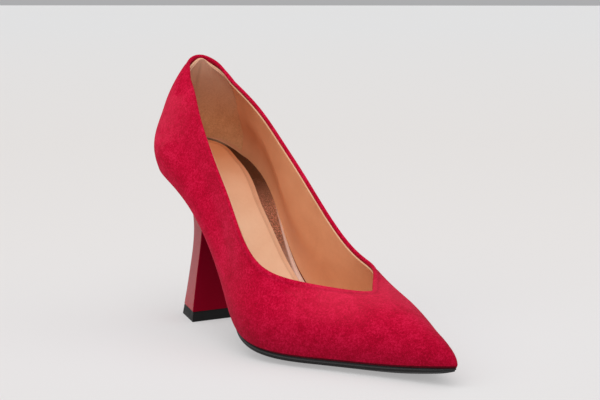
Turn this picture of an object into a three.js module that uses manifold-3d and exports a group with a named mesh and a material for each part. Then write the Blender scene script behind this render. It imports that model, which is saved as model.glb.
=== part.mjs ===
// High heel pump for the right foot, built up from its upper, bottom and heel parts.
// Millimetres, +Z up, toe towards -Y, outer side of the foot towards -X.
import * as THREE from 'three';
import Module from 'manifold-3d';

// ---------------------------------------------------------------- driving dimensions

const LENGTH = 242;            // back of the heel to the toe tip, measured level
const THROAT = 180;            // station of the point of the V throat
const HEEL_ROUND = 26;         // length over which the heel end rounds off
const TOE_ROUND = 20;          // length over which the toe outline rounds off
const RIDGE_ROUND = 42;        // length over which the vamp comes down to the toe tip
const HEEL_POWER = 2.1;
const TOE_POWER = 1.8;
const RIDGE_POWER = 2.2;
const ARCH_RISE = 2.7;         // exponents of the arch-shaped cross-section
const ARCH_SPREAD = 2.0;
const BULGE_HEIGHT = 26;       // height over which the wall swells above the featherline
const THROAT_BLEND = 60;       // length over which the layers' edges close up at the throat

const UPPER_THICK = 1.2;
const STIFFENER_IN = 1.6;      // insets of the layers from the outer surface
const STIFFENER_OUT = 2.2;
const LINING_IN = 2.6;
const LINING_OUT = 3.4;
const GRIP_IN = 3.7;
const GRIP_OUT = 4.4;
const MARGIN = 13;             // width of the upper lasted under the insole

const BOARD_LOW = 1.5;         // heights of the bottom layers over the featherline
const BOARD_HIGH = 3.3;
const COVER_LOW = 3.6;
const COVER_HIGH = 4.0;
const FOAM_LOW = 4.3;
const FOAM_HIGH = 5.4;
const SOCK_LOW = 5.7;
const SOCK_HIGH = 6.4;
const WALL_LEVEL = 3.7;        // lower edge of the lining and stiffeners
const GRIP_LEVEL = 7.0;
const ROWS = 7;                // rows of points up the height of a wall
const SOLE_HIGH = -0.3;
const GAP = 0.3;

const TOP_PIECE = 6;           // thickness of the heel's top piece
const HEEL_CENTRE = -3;
const HEEL_CORNER = 4;
const WRAP_THICK = 0.8;
const CORE_INSET = 1.1;
const FRAME_X = 2.79;          // moves the model so that its box is centred on the origin
const FRAME_Y = 119.75;

// ---------------------------------------------------------------- curves

// Natural cubic spline through a few [station, value] pairs.
function curve(points) {
  const n = points.length;
  const x = points.map((p) => p[0]);
  const y = points.map((p) => p[1]);
  const second = new Array(n).fill(0);
  const work = new Array(n).fill(0);
  for (let i = 1; i < n - 1; i += 1) {
    const sig = (x[i] - x[i - 1]) / (x[i + 1] - x[i - 1]);
    const p = sig * second[i - 1] + 2;
    const rise = (y[i + 1] - y[i]) / (x[i + 1] - x[i]) - (y[i] - y[i - 1]) / (x[i] - x[i - 1]);
    second[i] = (sig - 1) / p;
    work[i] = ((6 * rise) / (x[i + 1] - x[i - 1]) - sig * work[i - 1]) / p;
  }
  for (let i = n - 2; i > 0; i -= 1) {
    second[i] = second[i] * second[i + 1] + work[i];
  }
  second[n - 1] = 0;
  return (t) => {
    let k = 0;
    while (k < n - 2 && t > x[k + 1]) {
      k += 1;
    }
    const h = x[k + 1] - x[k];
    const a = (x[k + 1] - t) / h;
    const b = (t - x[k]) / h;
    const bend = ((a ** 3 - a) * second[k] + (b ** 3 - b) * second[k + 1]) * h * h;
    return a * y[k] + b * y[k + 1] + bend / 6;
  };
}

// Height of the featherline over the floor.
const feather = curve([
  [0, 96.5], [20, 86], [40, 77.5], [60, 63.5], [80, 43], [100, 23.5],
  [120, 12.3], [140, 7.6], [160, 5.8], [185, 5.9], [210, 6.7], [242, 10],
]);
// Height at which the two sides of the last would meet.
const ridge = curve([
  [0, 156], [20, 145], [40, 137.5], [60, 136], [90, 131], [115, 107],
  [140, 73], [160, 50], [180, 38], [200, 31.5], [220, 27], [242, 24.5],
]);
const ridgeX = curve([[0, 0], [60, -0.5], [100, -0.5], [150, 1], [200, 6], [242, 9.5]]);
// Middle and half width of the featherline outline.
const middle = curve([
  [0, 0], [30, -3], [60, -4.5], [90, -7], [120, -8.5],
  [145, -5.5], [170, 3.3], [200, 7.5], [220, 8.2], [242, 9.8],
]);
const halfWidth = curve([
  [0, 28], [30, 30.3], [60, 26.7], [90, 25], [120, 31.6], [145, 35.7],
  [165, 34.8], [185, 28], [205, 18.3], [225, 9.5], [242, 5],
]);
// Height of the topline on the outer and on the inner side of the foot.
const toplineOuter = curve([
  [0, 151], [15, 144], [30, 135.5], [45, 125.5], [60, 111.7], [80, 90.5],
  [100, 73.7], [120, 59.6], [140, 47.8], [160, 41.8], [180, 38],
]);
const toplineInner = curve([
  [0, 151], [15, 144], [30, 135.5], [45, 125.7], [60, 116], [80, 104],
  [100, 88.5], [120, 67], [140, 50.5], [160, 44.7], [180, 38],
]);
const bulge = curve([[0, 3.2], [60, 3.2], [120, 2], [150, 2.1], [240, 1]]);
// Forward lean of the back seam with height over the featherline.
const backLean = curve([[0, 0], [12, -2], [25, -2], [45, 6], [60, 12], [100, 24]]);
// Depth of the convex bottom across the foot.
const crown = curve([
  [0, 0], [50, 0], [75, 0], [100, 0.8], [130, 2.4],
  [150, 3], [178, 3], [205, 1.9], [225, 0.8], [242, 0.2],
]);

const OUTER = -1;
const INNER = 1;
const clamp = (v) => Math.min(1, Math.max(0, v));
const round = (v, power) => (1 - clamp(v) ** power) ** (1 / power);
const slope = (f) => (feather(f + 0.5) - feather(f - 0.5));
const secant = (f) => Math.hypot(1, slope(f));

// How far up the arch a layer reaches at a station, as a share of the upper's topline.
function topShare(side, f, share) {
  if (f >= THROAT) {
    return 1;
  }
  const line = side === OUTER ? toplineOuter : toplineInner;
  const full = (line(f) - feather(f)) / (ridge(f) - feather(f));
  return full * (1 - (1 - share) * clamp((THROAT - f) / THROAT_BLEND));
}

// Share of the wall's height at which a row of points lies, closer together over the vamp.
function rowShare(f, row) {
  const even = row / ROWS;
  const mix = clamp((f - 100) / (THROAT - 100));
  return even + (Math.sin((Math.PI * even) / 2) - even) * mix;
}

// Point of a wall layer: w runs from heel to toe, row -1 is the layer's own lower edge and
// rows 0 to ROWS lie at the same heights in every layer.
function wall(inset, level, side, w, row, share = 1) {
  const start = inset;
  const end = LENGTH - inset - 0.9 * level;
  const f = start + (end - start) * w;
  const heel = clamp((HEEL_ROUND - f) / (HEEL_ROUND - start));
  const ends = round(heel, HEEL_POWER) * round((f - end + TOE_ROUND) / TOE_ROUND, TOE_POWER);
  const close = round((f - end + RIDGE_ROUND) / RIDGE_ROUND, RIDGE_POWER);
  const lift = level * secant(f);
  const tall = lift + (ridge(f) - inset - feather(f) - lift) * close;
  const own = tall > 0 ? lift / tall : 1;
  const even = tall > 0 ? (WALL_LEVEL * secant(f)) / tall : 1;
  const low = level === WALL_LEVEL ? own : Math.min(even, Math.max(own, 0.4));
  const top = topShare(side, LENGTH * w, row === ROWS ? share : 1);
  const t = row < 0 ? own : low + (top - low) * rowShare(LENGTH * w, row);
  const g = Math.max(0, 1 - clamp(t) ** ARCH_RISE) ** (1 / ARCH_SPREAD);
  const h = t * tall;
  const foot = middle(f) + side * (halfWidth(f) - inset) * ends;
  const arc = clamp(h / Math.max(Math.min(BULGE_HEIGHT, tall), 0.001));
  const swell = bulge(f) * close * ends * Math.sin(Math.PI * arc);
  const x = ridgeX(f) + (foot - ridgeX(f)) * g + side * swell;
  return [x, -(f + heel * backLean(h)), feather(f) + h];
}

// Point on a bottom layer at position x and station f, a level above the featherline.
function bottom(x, f, level) {
  const across = clamp(Math.abs(x - middle(f)) / halfWidth(f));
  const n = secant(f);
  const z = feather(f) - crown(f) * (1 - across * across) + level / n;
  return [x, -(f - (level * slope(f)) / n), z];
}

// Point of a bottom layer: s runs across from -1 to 1, w from heel to toe.
function plate(inset, level, s, w, half = (f) => halfWidth(f) - inset) {
  const start = inset;
  const end = LENGTH - inset;
  const f = start + (end - start) * w;
  const heel = clamp((HEEL_ROUND - f) / (HEEL_ROUND - start));
  const ends = round(heel, HEEL_POWER) * round((f - end + TOE_ROUND) / TOE_ROUND, TOE_POWER);
  return bottom(middle(f) + s * half(f) * ends, f, level);
}

// ---------------------------------------------------------------- mesh helpers

class Builder {
  constructor() {
    this.index = new Map();
    this.points = [];
    this.faces = [];
  }

  vertex(p) {
    const key = p.map((v) => Math.round(v * 500)).join(',');
    if (!this.index.has(key)) {
      this.index.set(key, this.points.length);
      this.points.push(p);
    }
    return this.index.get(key);
  }

  triangle(a, b, c) {
    const i = this.vertex(a);
    const j = this.vertex(b);
    const k = this.vertex(c);
    if (i !== j && j !== k && k !== i) {
      this.faces.push([i, j, k]);
    }
  }

  quad(a, b, c, d) {
    this.triangle(a, b, c);
    this.triangle(a, c, d);
  }

  // Grid of points; flip turns the faces over.
  grid(rows, cols, at, flip = false) {
    for (let i = 0; i < rows; i += 1) {
      for (let j = 0; j < cols; j += 1) {
        const q = [at(i, j), at(i + 1, j), at(i + 1, j + 1), at(i, j + 1)];
        this.quad(...(flip ? q.reverse() : q));
      }
    }
  }

  volume() {
    let sum = 0;
    for (const [i, j, k] of this.faces) {
      const a = new THREE.Vector3(...this.points[i]);
      const b = new THREE.Vector3(...this.points[j]);
      const c = new THREE.Vector3(...this.points[k]);
      sum += a.dot(b.cross(c)) / 6;
    }
    return sum;
  }

  geometry() {
    if (this.volume() < 0) {
      this.faces = this.faces.map(([i, j, k]) => [i, k, j]);
    }
    const g = new THREE.BufferGeometry();
    g.setAttribute('position', new THREE.Float32BufferAttribute(this.points.flat(), 3));
    g.setIndex(this.faces.flat());
    return g;
  }
}

// Closed sheet between two matching grids of points.
function sheet(rows, cols, low, high) {
  const b = new Builder();
  b.grid(rows, cols, low, true);
  b.grid(rows, cols, high);
  for (let i = 0; i < rows; i += 1) {
    b.quad(low(i, 0), low(i + 1, 0), high(i + 1, 0), high(i, 0));
    b.quad(high(i, cols), high(i + 1, cols), low(i + 1, cols), low(i, cols));
  }
  for (let j = 0; j < cols; j += 1) {
    b.quad(high(0, j), high(0, j + 1), low(0, j + 1), low(0, j));
    b.quad(low(rows, j), low(rows, j + 1), high(rows, j + 1), high(rows, j));
  }
  return b.geometry();
}

const wasm = await Module();
wasm.setup();

function toSolid(geometry) {
  return new wasm.Manifold(new wasm.Mesh({
    numProp: 3,
    vertProperties: new Float32Array(geometry.getAttribute('position').array),
    triVerts: new Uint32Array(geometry.getIndex().array),
  }));
}

// Takes the cutters away from a closed geometry.
function drill(geometry, cutters) {
  let solid = toSolid(geometry);
  for (const cutter of cutters) {
    solid = solid.subtract(toSolid(cutter));
  }
  const mesh = solid.getMesh();
  const g = new THREE.BufferGeometry();
  g.setAttribute('position', new THREE.Float32BufferAttribute(mesh.vertProperties, 3));
  g.setIndex(Array.from(mesh.triVerts));
  return g;
}

// Round bar between two points, closed at both ends.
function bar(from, to, radius, sides = 12) {
  const a = new THREE.Vector3(...from);
  const axis = new THREE.Vector3(...to).sub(a);
  const u = new THREE.Vector3(1, 0, 0).cross(axis).normalize();
  const v = axis.clone().normalize().cross(u);
  const b = new Builder();
  const rim = (i, end) => {
    const angle = (2 * Math.PI * (i % sides)) / sides;
    const p = a.clone().addScaledVector(axis, end);
    p.addScaledVector(u, radius * Math.cos(angle));
    p.addScaledVector(v, radius * Math.sin(angle));
    return p.toArray();
  };
  for (let i = 0; i < sides; i += 1) {
    b.quad(rim(i, 0), rim(i + 1, 0), rim(i + 1, 1), rim(i, 1));
    b.triangle(from, rim(i + 1, 0), rim(i, 0));
    b.triangle(to, rim(i, 1), rim(i + 1, 1));
  }
  return b.geometry();
}

// ---------------------------------------------------------------- stations

const BACK_STEPS = 28;
const VAMP_STEPS = 12;
const STATIONS = [];
for (let i = 0; i <= BACK_STEPS; i += 1) {
  STATIONS.push((THROAT * (1 - Math.cos((Math.PI * i) / BACK_STEPS))) / 2);
}
for (let i = 1; i <= VAMP_STEPS; i += 1) {
  STATIONS.push(THROAT + (LENGTH - THROAT) * Math.sin((Math.PI * i) / (2 * VAMP_STEPS)));
}
const W = STATIONS.map((f) => f / LENGTH);
const LAST = W.length - 1;

// ---------------------------------------------------------------- upper parts

// Shell with an open top and an optional margin turned under the insole.
function fullShell(outside, inside, level, margin, share) {
  const b = new Builder();
  const first = margin ? -1 : 0;
  const rows = ROWS - first;
  for (const side of [OUTER, INNER]) {
    const flip = side === INNER;
    const face = (a, c, d, e) => b.quad(...(flip ? [e, d, c, a] : [a, c, d, e]));
    const out = (i, j) => wall(outside, margin ? 0 : level, side, W[i], j + first, share);
    const inn = (i, j) => wall(inside, level, side, W[i], j + first, share);
    b.grid(LAST, rows, out, flip);
    b.grid(LAST, rows, inn, !flip);
    for (let i = 0; i < BACK_STEPS; i += 1) {
      face(out(i, rows), out(i + 1, rows), inn(i + 1, rows), inn(i, rows));
    }
    const path = [out];
    if (margin) {
      for (const [depth, height] of [[0.5, 0], [1, 0], [1, level], [0.5, level]]) {
        const inset = margin * depth;
        const half = (f) => Math.max(halfWidth(f) - inset, 0.4 * halfWidth(f));
        path.push((i) => plate(inset, height, side, W[i], half));
      }
    }
    path.push(inn);
    for (let n = 0; n < path.length - 1; n += 1) {
      for (let i = 0; i < LAST; i += 1) {
        face(path[n + 1](i, 0), path[n + 1](i + 1, 0), path[n](i + 1, 0), path[n](i, 0));
      }
    }
  }
  return b.geometry();
}

// Strip of wall that runs round the heel from one side to the other.
function backStrip(outside, inside, level, steps, rows, share) {
  const at = (inset) => (i, j) => {
    const side = j < steps ? OUTER : INNER;
    const row = level > WALL_LEVEL && i === 0 ? -1 : i;
    return wall(inset, level, side, W[Math.abs(j - steps)], row, share);
  };
  return sheet(rows, steps * 2, at(outside), at(inside));
}

// Strip of wall on one side of the foot.
function sideStrip(outside, inside, level, side, from, to, rows) {
  const at = (inset) => (i, j) => wall(inset, level, side, W[from + j], i);
  return sheet(rows, to - from, at(outside), at(inside));
}

// Cap over the toe.
function toeCap(outside, inside, level, from) {
  const at = (inset) => (i, j) => {
    const side = j < ROWS ? OUTER : INNER;
    return wall(inset, level, side, W[from + i], ROWS - Math.abs(j - ROWS));
  };
  return sheet(LAST - from, ROWS * 2, at(outside), at(inside));
}

// ---------------------------------------------------------------- bottom parts

// Layer that follows the whole outline of the insole.
function fullPlate(inset, low, high, cols) {
  const at = (level) => (i, j) => plate(inset, level, (2 * j) / cols - 1, W[i]);
  return sheet(LAST, cols, at(low), at(high));
}

// Layer between two stations with its own half width and rounded or square ends.
function strip(from, to, low, high, steps, cols, shape) {
  const at = (level) => (i, j) => {
    const u = shape.rounded ? (1 - Math.cos((Math.PI * i) / steps)) / 2 : i / steps;
    const f = from + (to - from) * u;
    const end = shape.rounded ? Math.min(f - from, to - f) / shape.rounded : 1;
    const ends = round(1 - clamp(end), 2);
    const s = (2 * j) / cols - 1;
    const p = bottom(shape.centre(f) + s * shape.half(f) * ends, f, level(f));
    if (shape.floor) {
      p[2] = Math.max(0, p[2]);
    }
    return p;
  };
  const asLevel = (v) => (typeof v === 'function' ? v : () => v);
  return sheet(steps, cols, at(asLevel(low)), at(asLevel(high)));
}

// ---------------------------------------------------------------- heel

const breastLine = curve([[0, 41.3], [25, 42], [50, 43.4], [65, 45.6], [74, 47.6]]);
const breastHalf = curve([[0, 19.9], [28, 16.6], [50, 14.3], [64, 14.6], [76, 16]]);
const rearLine = curve([[0, 13], [14, 15.5], [28, 18.3], [55, 20.3], [70, 17], [86, 11]]);
const rearHalf = curve([[0, 11.5], [14, 10], [28, 9], [55, 7.6], [70, 8.5], [86, 10.5]]);
const SIDE_STEPS = 2;
const CORNER_STEPS = 4;

// Half outline of the heel in plan, from the breast corner back to the middle of the rear.
function heelHalf(z, inset, front) {
  const fb = breastLine(z) - front;
  const fr = rearLine(z) + inset;
  const lean = (breastHalf(z) - rearHalf(z)) / (breastLine(z) - rearLine(z));
  const across = inset * Math.hypot(1, lean);
  const halfAt = (f) => breastHalf(z) - (breastLine(z) - f) * lean - across;
  const r = Math.max(HEEL_CORNER - inset, 1);
  const points = [];
  const turn = Math.PI / 2 - Math.atan(lean);
  const reach = r * Math.tan(turn / 2);
  const cornerX = halfAt(fr);
  const armF = fr + reach * Math.cos(Math.atan(lean));
  for (let i = 0; i <= SIDE_STEPS; i += 1) {
    const f = fb + ((armF - fb) * i) / SIDE_STEPS;
    points.push([halfAt(f), f]);
  }
  const cx = cornerX - reach;
  const cf = fr + r;
  for (let i = 1; i <= CORNER_STEPS; i += 1) {
    const angle = (turn * (CORNER_STEPS - i)) / CORNER_STEPS;
    points.push([cx + r * Math.sin(angle), cf - r * Math.cos(angle)]);
  }
  points.push([0, fr]);
  return points;
}

// Height of the seat under the shoe at a station.
function seat(f) {
  return feather(f) + SOLE_HIGH * secant(f);
}

// Point on an upright edge of the heel, v = 0 at the lower end and 1 at the seat.
function heelPoint(i, side, v, inset, front, low) {
  let top = 80;
  for (let n = 0; n < 40; n += 1) {
    top = (top + seat(heelHalf(top, inset, front)[i][1])) / 2;
  }
  const z = low + (top - low) * v;
  const [x, f] = heelHalf(z, inset, front)[i];
  return [HEEL_CENTRE + side * x, -f, z];
}

const HALF_POINTS = SIDE_STEPS + CORNER_STEPS + 1;
const HEEL_ROWS = 9;

// Solid block with the heel's outline.
function heelBlock(inset, front) {
  const b = new Builder();
  const at = (i, side, r) => heelPoint(i, side, r / HEEL_ROWS, inset, front, TOP_PIECE + GAP);
  for (let i = 0; i < HALF_POINTS; i += 1) {
    for (let r = 0; r < HEEL_ROWS; r += 1) {
      b.quad(at(i, -1, r), at(i, -1, r + 1), at(i + 1, -1, r + 1), at(i + 1, -1, r));
      b.quad(at(i + 1, 1, r), at(i + 1, 1, r + 1), at(i, 1, r + 1), at(i, 1, r));
    }
    b.quad(at(i, -1, 0), at(i + 1, -1, 0), at(i + 1, 1, 0), at(i, 1, 0));
    const n = HEEL_ROWS;
    b.quad(at(i, 1, n), at(i + 1, 1, n), at(i + 1, -1, n), at(i, -1, n));
  }
  for (let r = 0; r < HEEL_ROWS; r += 1) {
    b.quad(at(0, 1, r), at(0, 1, r + 1), at(0, -1, r + 1), at(0, -1, r));
  }
  return b.geometry();
}

// Thin cover round the sides and back of the heel.
function heelCover() {
  const front = WRAP_THICK + GAP;
  const at = (inset) => (i, j) => {
    const n = HALF_POINTS - Math.abs(j - HALF_POINTS);
    const side = j < HALF_POINTS ? -1 : 1;
    return heelPoint(n, side, i / HEEL_ROWS, inset, front, TOP_PIECE + GAP);
  };
  return sheet(HEEL_ROWS, HALF_POINTS * 2, at(0), at(WRAP_THICK));
}

// Thin cover over the breast of the heel.
function breastPanel() {
  const at = (front) => (i, j) => {
    const p = heelPoint(0, j === 0 ? -1 : 1, i / HEEL_ROWS, 0, front, TOP_PIECE + GAP);
    return p;
  };
  return sheet(HEEL_ROWS, 1, at(0), at(WRAP_THICK));
}

// Flat prism under the heel.
function topPiece() {
  const b = new Builder();
  const at = (i, side, z) => {
    const [x, f] = heelHalf(z, 0.15, 0.15)[i];
    return [HEEL_CENTRE + side * x, -f, z];
  };
  for (let i = 0; i < HALF_POINTS; i += 1) {
    b.quad(at(i, -1, 0), at(i, -1, TOP_PIECE), at(i + 1, -1, TOP_PIECE), at(i + 1, -1, 0));
    b.quad(at(i + 1, 1, 0), at(i + 1, 1, TOP_PIECE), at(i, 1, TOP_PIECE), at(i, 1, 0));
    b.quad(at(i, -1, 0), at(i + 1, -1, 0), at(i + 1, 1, 0), at(i, 1, 0));
    const top = [at(i, 1, TOP_PIECE), at(i + 1, 1, TOP_PIECE)];
    b.quad(...top, at(i + 1, -1, TOP_PIECE), at(i, -1, TOP_PIECE));
  }
  b.quad(at(0, 1, 0), at(0, 1, TOP_PIECE), at(0, -1, TOP_PIECE), at(0, -1, 0));
  return b.geometry();
}

// ---------------------------------------------------------------- fixings

const NAIL_RADIUS = 0.9;
const SCREW_RADIUS = 1.9;
const PIN_RADIUS = 1.2;
const RIVET_RADIUS = 1.4;
const NAIL_DEPTH = 16;
const SCREW_DEPTH = 32;
const FIXING_TOP = 3.1;

const NAILS = [[-9, 22.5], [3, 22.5], [-12.5, 40], [6.5, 40]];
const SCREW = [HEEL_CENTRE, 33];
const RIVETS = [66, 108];
const TOP_PINS = [-8, 2];
const PIN_STATION = 31;
const PIN_LOW = 2.7;
const PIN_HIGH = 24;

const uprightBar = ([x, f], depth, radius, grow) => {
  const [, , top] = bottom(x, f, FIXING_TOP);
  return bar([x, -f, top + grow * 2], [x, -f, top - depth - grow], radius + grow);
};
const nailBar = (at, grow) => uprightBar(at, NAIL_DEPTH, NAIL_RADIUS, grow);
const screwBar = (grow) => uprightBar(SCREW, SCREW_DEPTH, SCREW_RADIUS, grow);
const rivetBar = (f, grow) => {
  const x = shankMiddle(f);
  return bar(bottom(x, f, FIXING_TOP + grow * 2), bottom(x, f, 0.2 - grow * 2), RIVET_RADIUS + grow);
};
const pinBar = (x, grow) => {
  return bar([x, -PIN_STATION, PIN_LOW - grow], [x, -PIN_STATION, PIN_HIGH + grow], PIN_RADIUS + grow);
};

const SHANK_FROM = 26;
const SHANK_TO = 122;
const SHANK_HALF = 6.5;
const shankMiddle = (f) => middle(f);

// ---------------------------------------------------------------- geometry of each part

const upperGeometry = fullShell(0, UPPER_THICK, UPPER_THICK, MARGIN, 1);
const liningGeometry = fullShell(LINING_IN, LINING_OUT, WALL_LEVEL, 0, 0.95);
const counterGeometry = backStrip(STIFFENER_IN, STIFFENER_OUT, WALL_LEVEL, 12, ROWS - 1, 1);
const gripGeometry = backStrip(GRIP_IN, GRIP_OUT, GRIP_LEVEL, 6, ROWS, 0.92);
const puffGeometry = toeCap(STIFFENER_IN, STIFFENER_OUT, WALL_LEVEL, 32);

function interlining(side) {
  return sideStrip(STIFFENER_IN, STIFFENER_OUT, WALL_LEVEL, side, 13, 21, ROWS - 1);
}

const fixings = [
  ...NAILS.map((n) => nailBar(n, GAP)),
  screwBar(GAP),
];
const boardHoles = [...fixings, ...RIVETS.map((f) => rivetBar(f, GAP))];
const boardGeometry = drill(fullPlate(2.5, BOARD_LOW, BOARD_HIGH, 4), boardHoles);
const coverGeometry = fullPlate(3.8, COVER_LOW, COVER_HIGH, 4);

const foamGeometry = strip(9, 148, FOAM_LOW, FOAM_HIGH, 20, 4, {
  rounded: 18,
  centre: middle,
  half: (f) => halfWidth(f) - 10,
});

const sockShape = {
  rounded: 24,
  centre: (f) => middle(f) - 0.6,
  half: curve([
    [0, 20], [30, 22.4], [60, 18.8], [90, 17.2], [120, 23.6],
    [145, 28], [165, 27], [185, 20.5], [205, 11.5], [225, 6],
  ]),
};
const sockGeometry = strip(7, 224, SOCK_LOW, SOCK_HIGH, 32, 4, sockShape);

const shankPlain = strip(SHANK_FROM, SHANK_TO, 0.1, 1.2, 20, 2, {
  rounded: 6,
  centre: shankMiddle,
  half: () => SHANK_HALF,
});
const shankHoles = [screwBar(GAP), ...RIVETS.map((f) => rivetBar(f, GAP))];
const shankGeometry = drill(shankPlain, shankHoles);

const fillerGeometry = strip(124, 221, 0.1, 1.2, 16, 6, {
  rounded: 10,
  centre: middle,
  half: (f) => Math.max(halfWidth(f) - MARGIN, 0.4 * halfWidth(f)) - 0.6,
});

const soleInset = curve([[48, 10], [80, 8.5], [100, 5.5], [116, 1.8], [128, 0.8], [160, 0.8], [242, 0.8]]);
const soleLow = curve([[48, -2.3], [90, -2.3], [120, -3.1], [135, -3.3], [242, -3.3]]);
const SOLE_FROM = 50.2;
const SOLE_TO = LENGTH - 0.8;
const SOLE_STEPS = 36;
const SOLE_COLS = 6;

// The sole is square at the heel breast and rounded at the toe.
function soleGeometry() {
  const at = (level) => (i, j) => {
    const f = SOLE_FROM + (SOLE_TO - SOLE_FROM) * Math.sin((Math.PI * i) / (2 * SOLE_STEPS));
    const ends = round((f - SOLE_TO + TOE_ROUND) / TOE_ROUND, TOE_POWER);
    const s = (2 * j) / SOLE_COLS - 1;
    const half = (halfWidth(f) - soleInset(f)) * ends;
    const p = bottom(middle(f) + s * half, f, level(f));
    p[2] = Math.max(0, p[2]);
    return p;
  };
  return sheet(SOLE_STEPS, SOLE_COLS, at(soleLow), at(() => SOLE_HIGH));
}

const coreGeometry = drill(heelBlock(CORE_INSET, CORE_INSET), [
  ...fixings,
  ...TOP_PINS.map((x) => pinBar(x, GAP)),
]);
const topPieceGeometry = drill(topPiece(), TOP_PINS.map((x) => pinBar(x, GAP)));

// ---------------------------------------------------------------- materials

const paint = (color, roughness, metalness = 0) => {
  return new THREE.MeshStandardMaterial({ color, roughness, metalness });
};
const suede = paint(0xb8082f, 0.95);
const tanLeather = paint(0xc98d5c, 0.6);
const gripSuede = paint(0xb9987c, 0.95);
const bronze = paint(0x8a5a3c, 0.35, 0.6);
const board = paint(0xb7a583, 0.9);
const stiffener = paint(0xe6dfcf, 0.9);
const textile = paint(0xefeae0, 0.95);
const foam = paint(0xe8d9b0, 0.95);
const cork = paint(0x9c7448, 0.95);
const black = paint(0x161616, 0.6);
const plastic = paint(0xdad6cc, 0.6);
const lacquer = paint(0x8c0218, 0.15);
const steel = paint(0x9a9da1, 0.4, 0.9);

// ---------------------------------------------------------------- assembly

function piece(name, geometry, material) {
  const mesh = new THREE.Mesh(geometry, material);
  mesh.name = name;
  return mesh;
}

function group(name, children) {
  const g = new THREE.Group();
  g.name = name;
  children.forEach((child) => g.add(child));
  return g;
}

const upper = group('upper_assembly', [
  piece('suede_upper', upperGeometry, suede),
  piece('leather_lining', liningGeometry, tanLeather),
  piece('heel_grip', gripGeometry, gripSuede),
  group('stiffeners', [
    piece('heel_counter', counterGeometry, stiffener),
    piece('toe_puff', puffGeometry, stiffener),
    piece('interlining_lateral', interlining(OUTER), textile),
    piece('interlining_medial', interlining(INNER), textile),
  ]),
]);

const sole = group('bottom_assembly', [
  piece('insole_board', boardGeometry, board),
  piece('insole_cover', coverGeometry, bronze),
  piece('sock_foam', foamGeometry, foam),
  piece('sock_lining', sockGeometry, tanLeather),
  piece('bottom_filler', fillerGeometry, cork),
  piece('outsole', soleGeometry(), black),
  group('shank_assembly', [
    piece('shank', shankGeometry, steel),
    ...RIVETS.map((f, i) => piece(`shank_rivet_${i + 1}`, rivetBar(f, 0), steel)),
  ]),
]);

const heel = group('heel_assembly', [
  piece('heel_core', coreGeometry, plastic),
  piece('heel_wrap', heelCover(), lacquer),
  piece('breast_cover', breastPanel(), lacquer),
  group('top_piece_assembly', [
    piece('top_piece', topPieceGeometry, black),
    ...TOP_PINS.map((x, i) => piece(`top_piece_pin_${i + 1}`, pinBar(x, 0), steel)),
  ]),
  group('heel_fixings', [
    piece('heel_screw', screwBar(0), steel),
    ...NAILS.map((n, i) => piece(`heel_nail_${i + 1}`, nailBar(n, 0), steel)),
  ]),
]);

const pump = group('high_heel_pump', [upper, sole, heel]);
pump.position.set(FRAME_X, FRAME_Y, 0);
pump.updateMatrixWorld(true);

export default pump;
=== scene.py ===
"""The finished look of the high heel pump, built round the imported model.

Shapes are worked out in millimetres, heel at y = 0 and toe towards -y, and moved into the
row frame when a mesh is made. A wall point has a place along the shoe, q = sqrt(w) with w
from 0 at the back seam to 1 at the toe tip, and a place across it, phi from -1 at the outer
featherline over the ridge at 0 to 1 at the inner featherline.
"""
import math

import bmesh  # noqa: E402
import bpy  # noqa: E402
import numpy as np  # noqa: E402
from mathutils import Matrix, Vector, kdtree  # noqa: E402


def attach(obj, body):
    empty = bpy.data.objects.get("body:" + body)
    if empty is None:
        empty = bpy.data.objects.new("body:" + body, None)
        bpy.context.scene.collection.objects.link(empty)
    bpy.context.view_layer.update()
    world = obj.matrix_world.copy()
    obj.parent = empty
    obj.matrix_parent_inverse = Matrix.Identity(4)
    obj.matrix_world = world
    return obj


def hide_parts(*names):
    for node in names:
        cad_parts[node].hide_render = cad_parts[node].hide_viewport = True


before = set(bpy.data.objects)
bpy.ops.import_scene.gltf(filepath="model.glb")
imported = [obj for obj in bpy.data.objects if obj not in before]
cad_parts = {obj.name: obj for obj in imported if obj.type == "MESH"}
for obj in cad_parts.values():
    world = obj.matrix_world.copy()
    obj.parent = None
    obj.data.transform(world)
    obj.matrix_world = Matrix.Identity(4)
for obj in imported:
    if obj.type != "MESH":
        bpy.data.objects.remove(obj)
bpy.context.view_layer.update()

# ------------------------------------------------------------------ dimensions of the shoe
MM = 0.001
FRAME_SHIFT = (2.79, 119.75, 0.0)
LENGTH, THROAT = 242.0, 180.0
HEEL_ROUND, TOE_ROUND, RIDGE_ROUND = 26.0, 20.0, 42.0
HEEL_POWER, TOE_POWER, RIDGE_POWER = 2.1, 1.8, 2.2
ARCH_RISE, BULGE_HEIGHT, BULGE_END = 2.7, 26.0, 1.25
TOE_STEP = 0.9                # how far the toe of a wall layer steps back for its level
UPPER_THICK, MARGIN, WALL_LEVEL, GRIP_LEVEL = 1.2, 13.0, 3.7, 4.5
LINING_OUT, LINING_IN = 2.6, 3.4
GRIP_OUT, GRIP_THICK, GRIP_SKIVED, GRIP_FRONT = 3.5, 0.7, 0.15, 16.8
STIFF_OUT, STIFF_IN = 1.6, 2.2
RIM = 1.0                     # radius of the folded topline
FOLD_THICK, FOLD_DEPTH = 2.0, 6.0
LINING_DROP = 1.5             # how far below the topline the lining's cut edge lies
CUT_ROUND = 0.18              # how far the lining's cut edge bulges
LEAN, LEAN_DEPTH = 0.5, 6.0   # the lining leans out against the fold near its edge
TOP_PIECE, HEEL_CENTRE, HEEL_CORNER, WRAP_THICK = 6.0, -3.0, 4.0, 0.8


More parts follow.
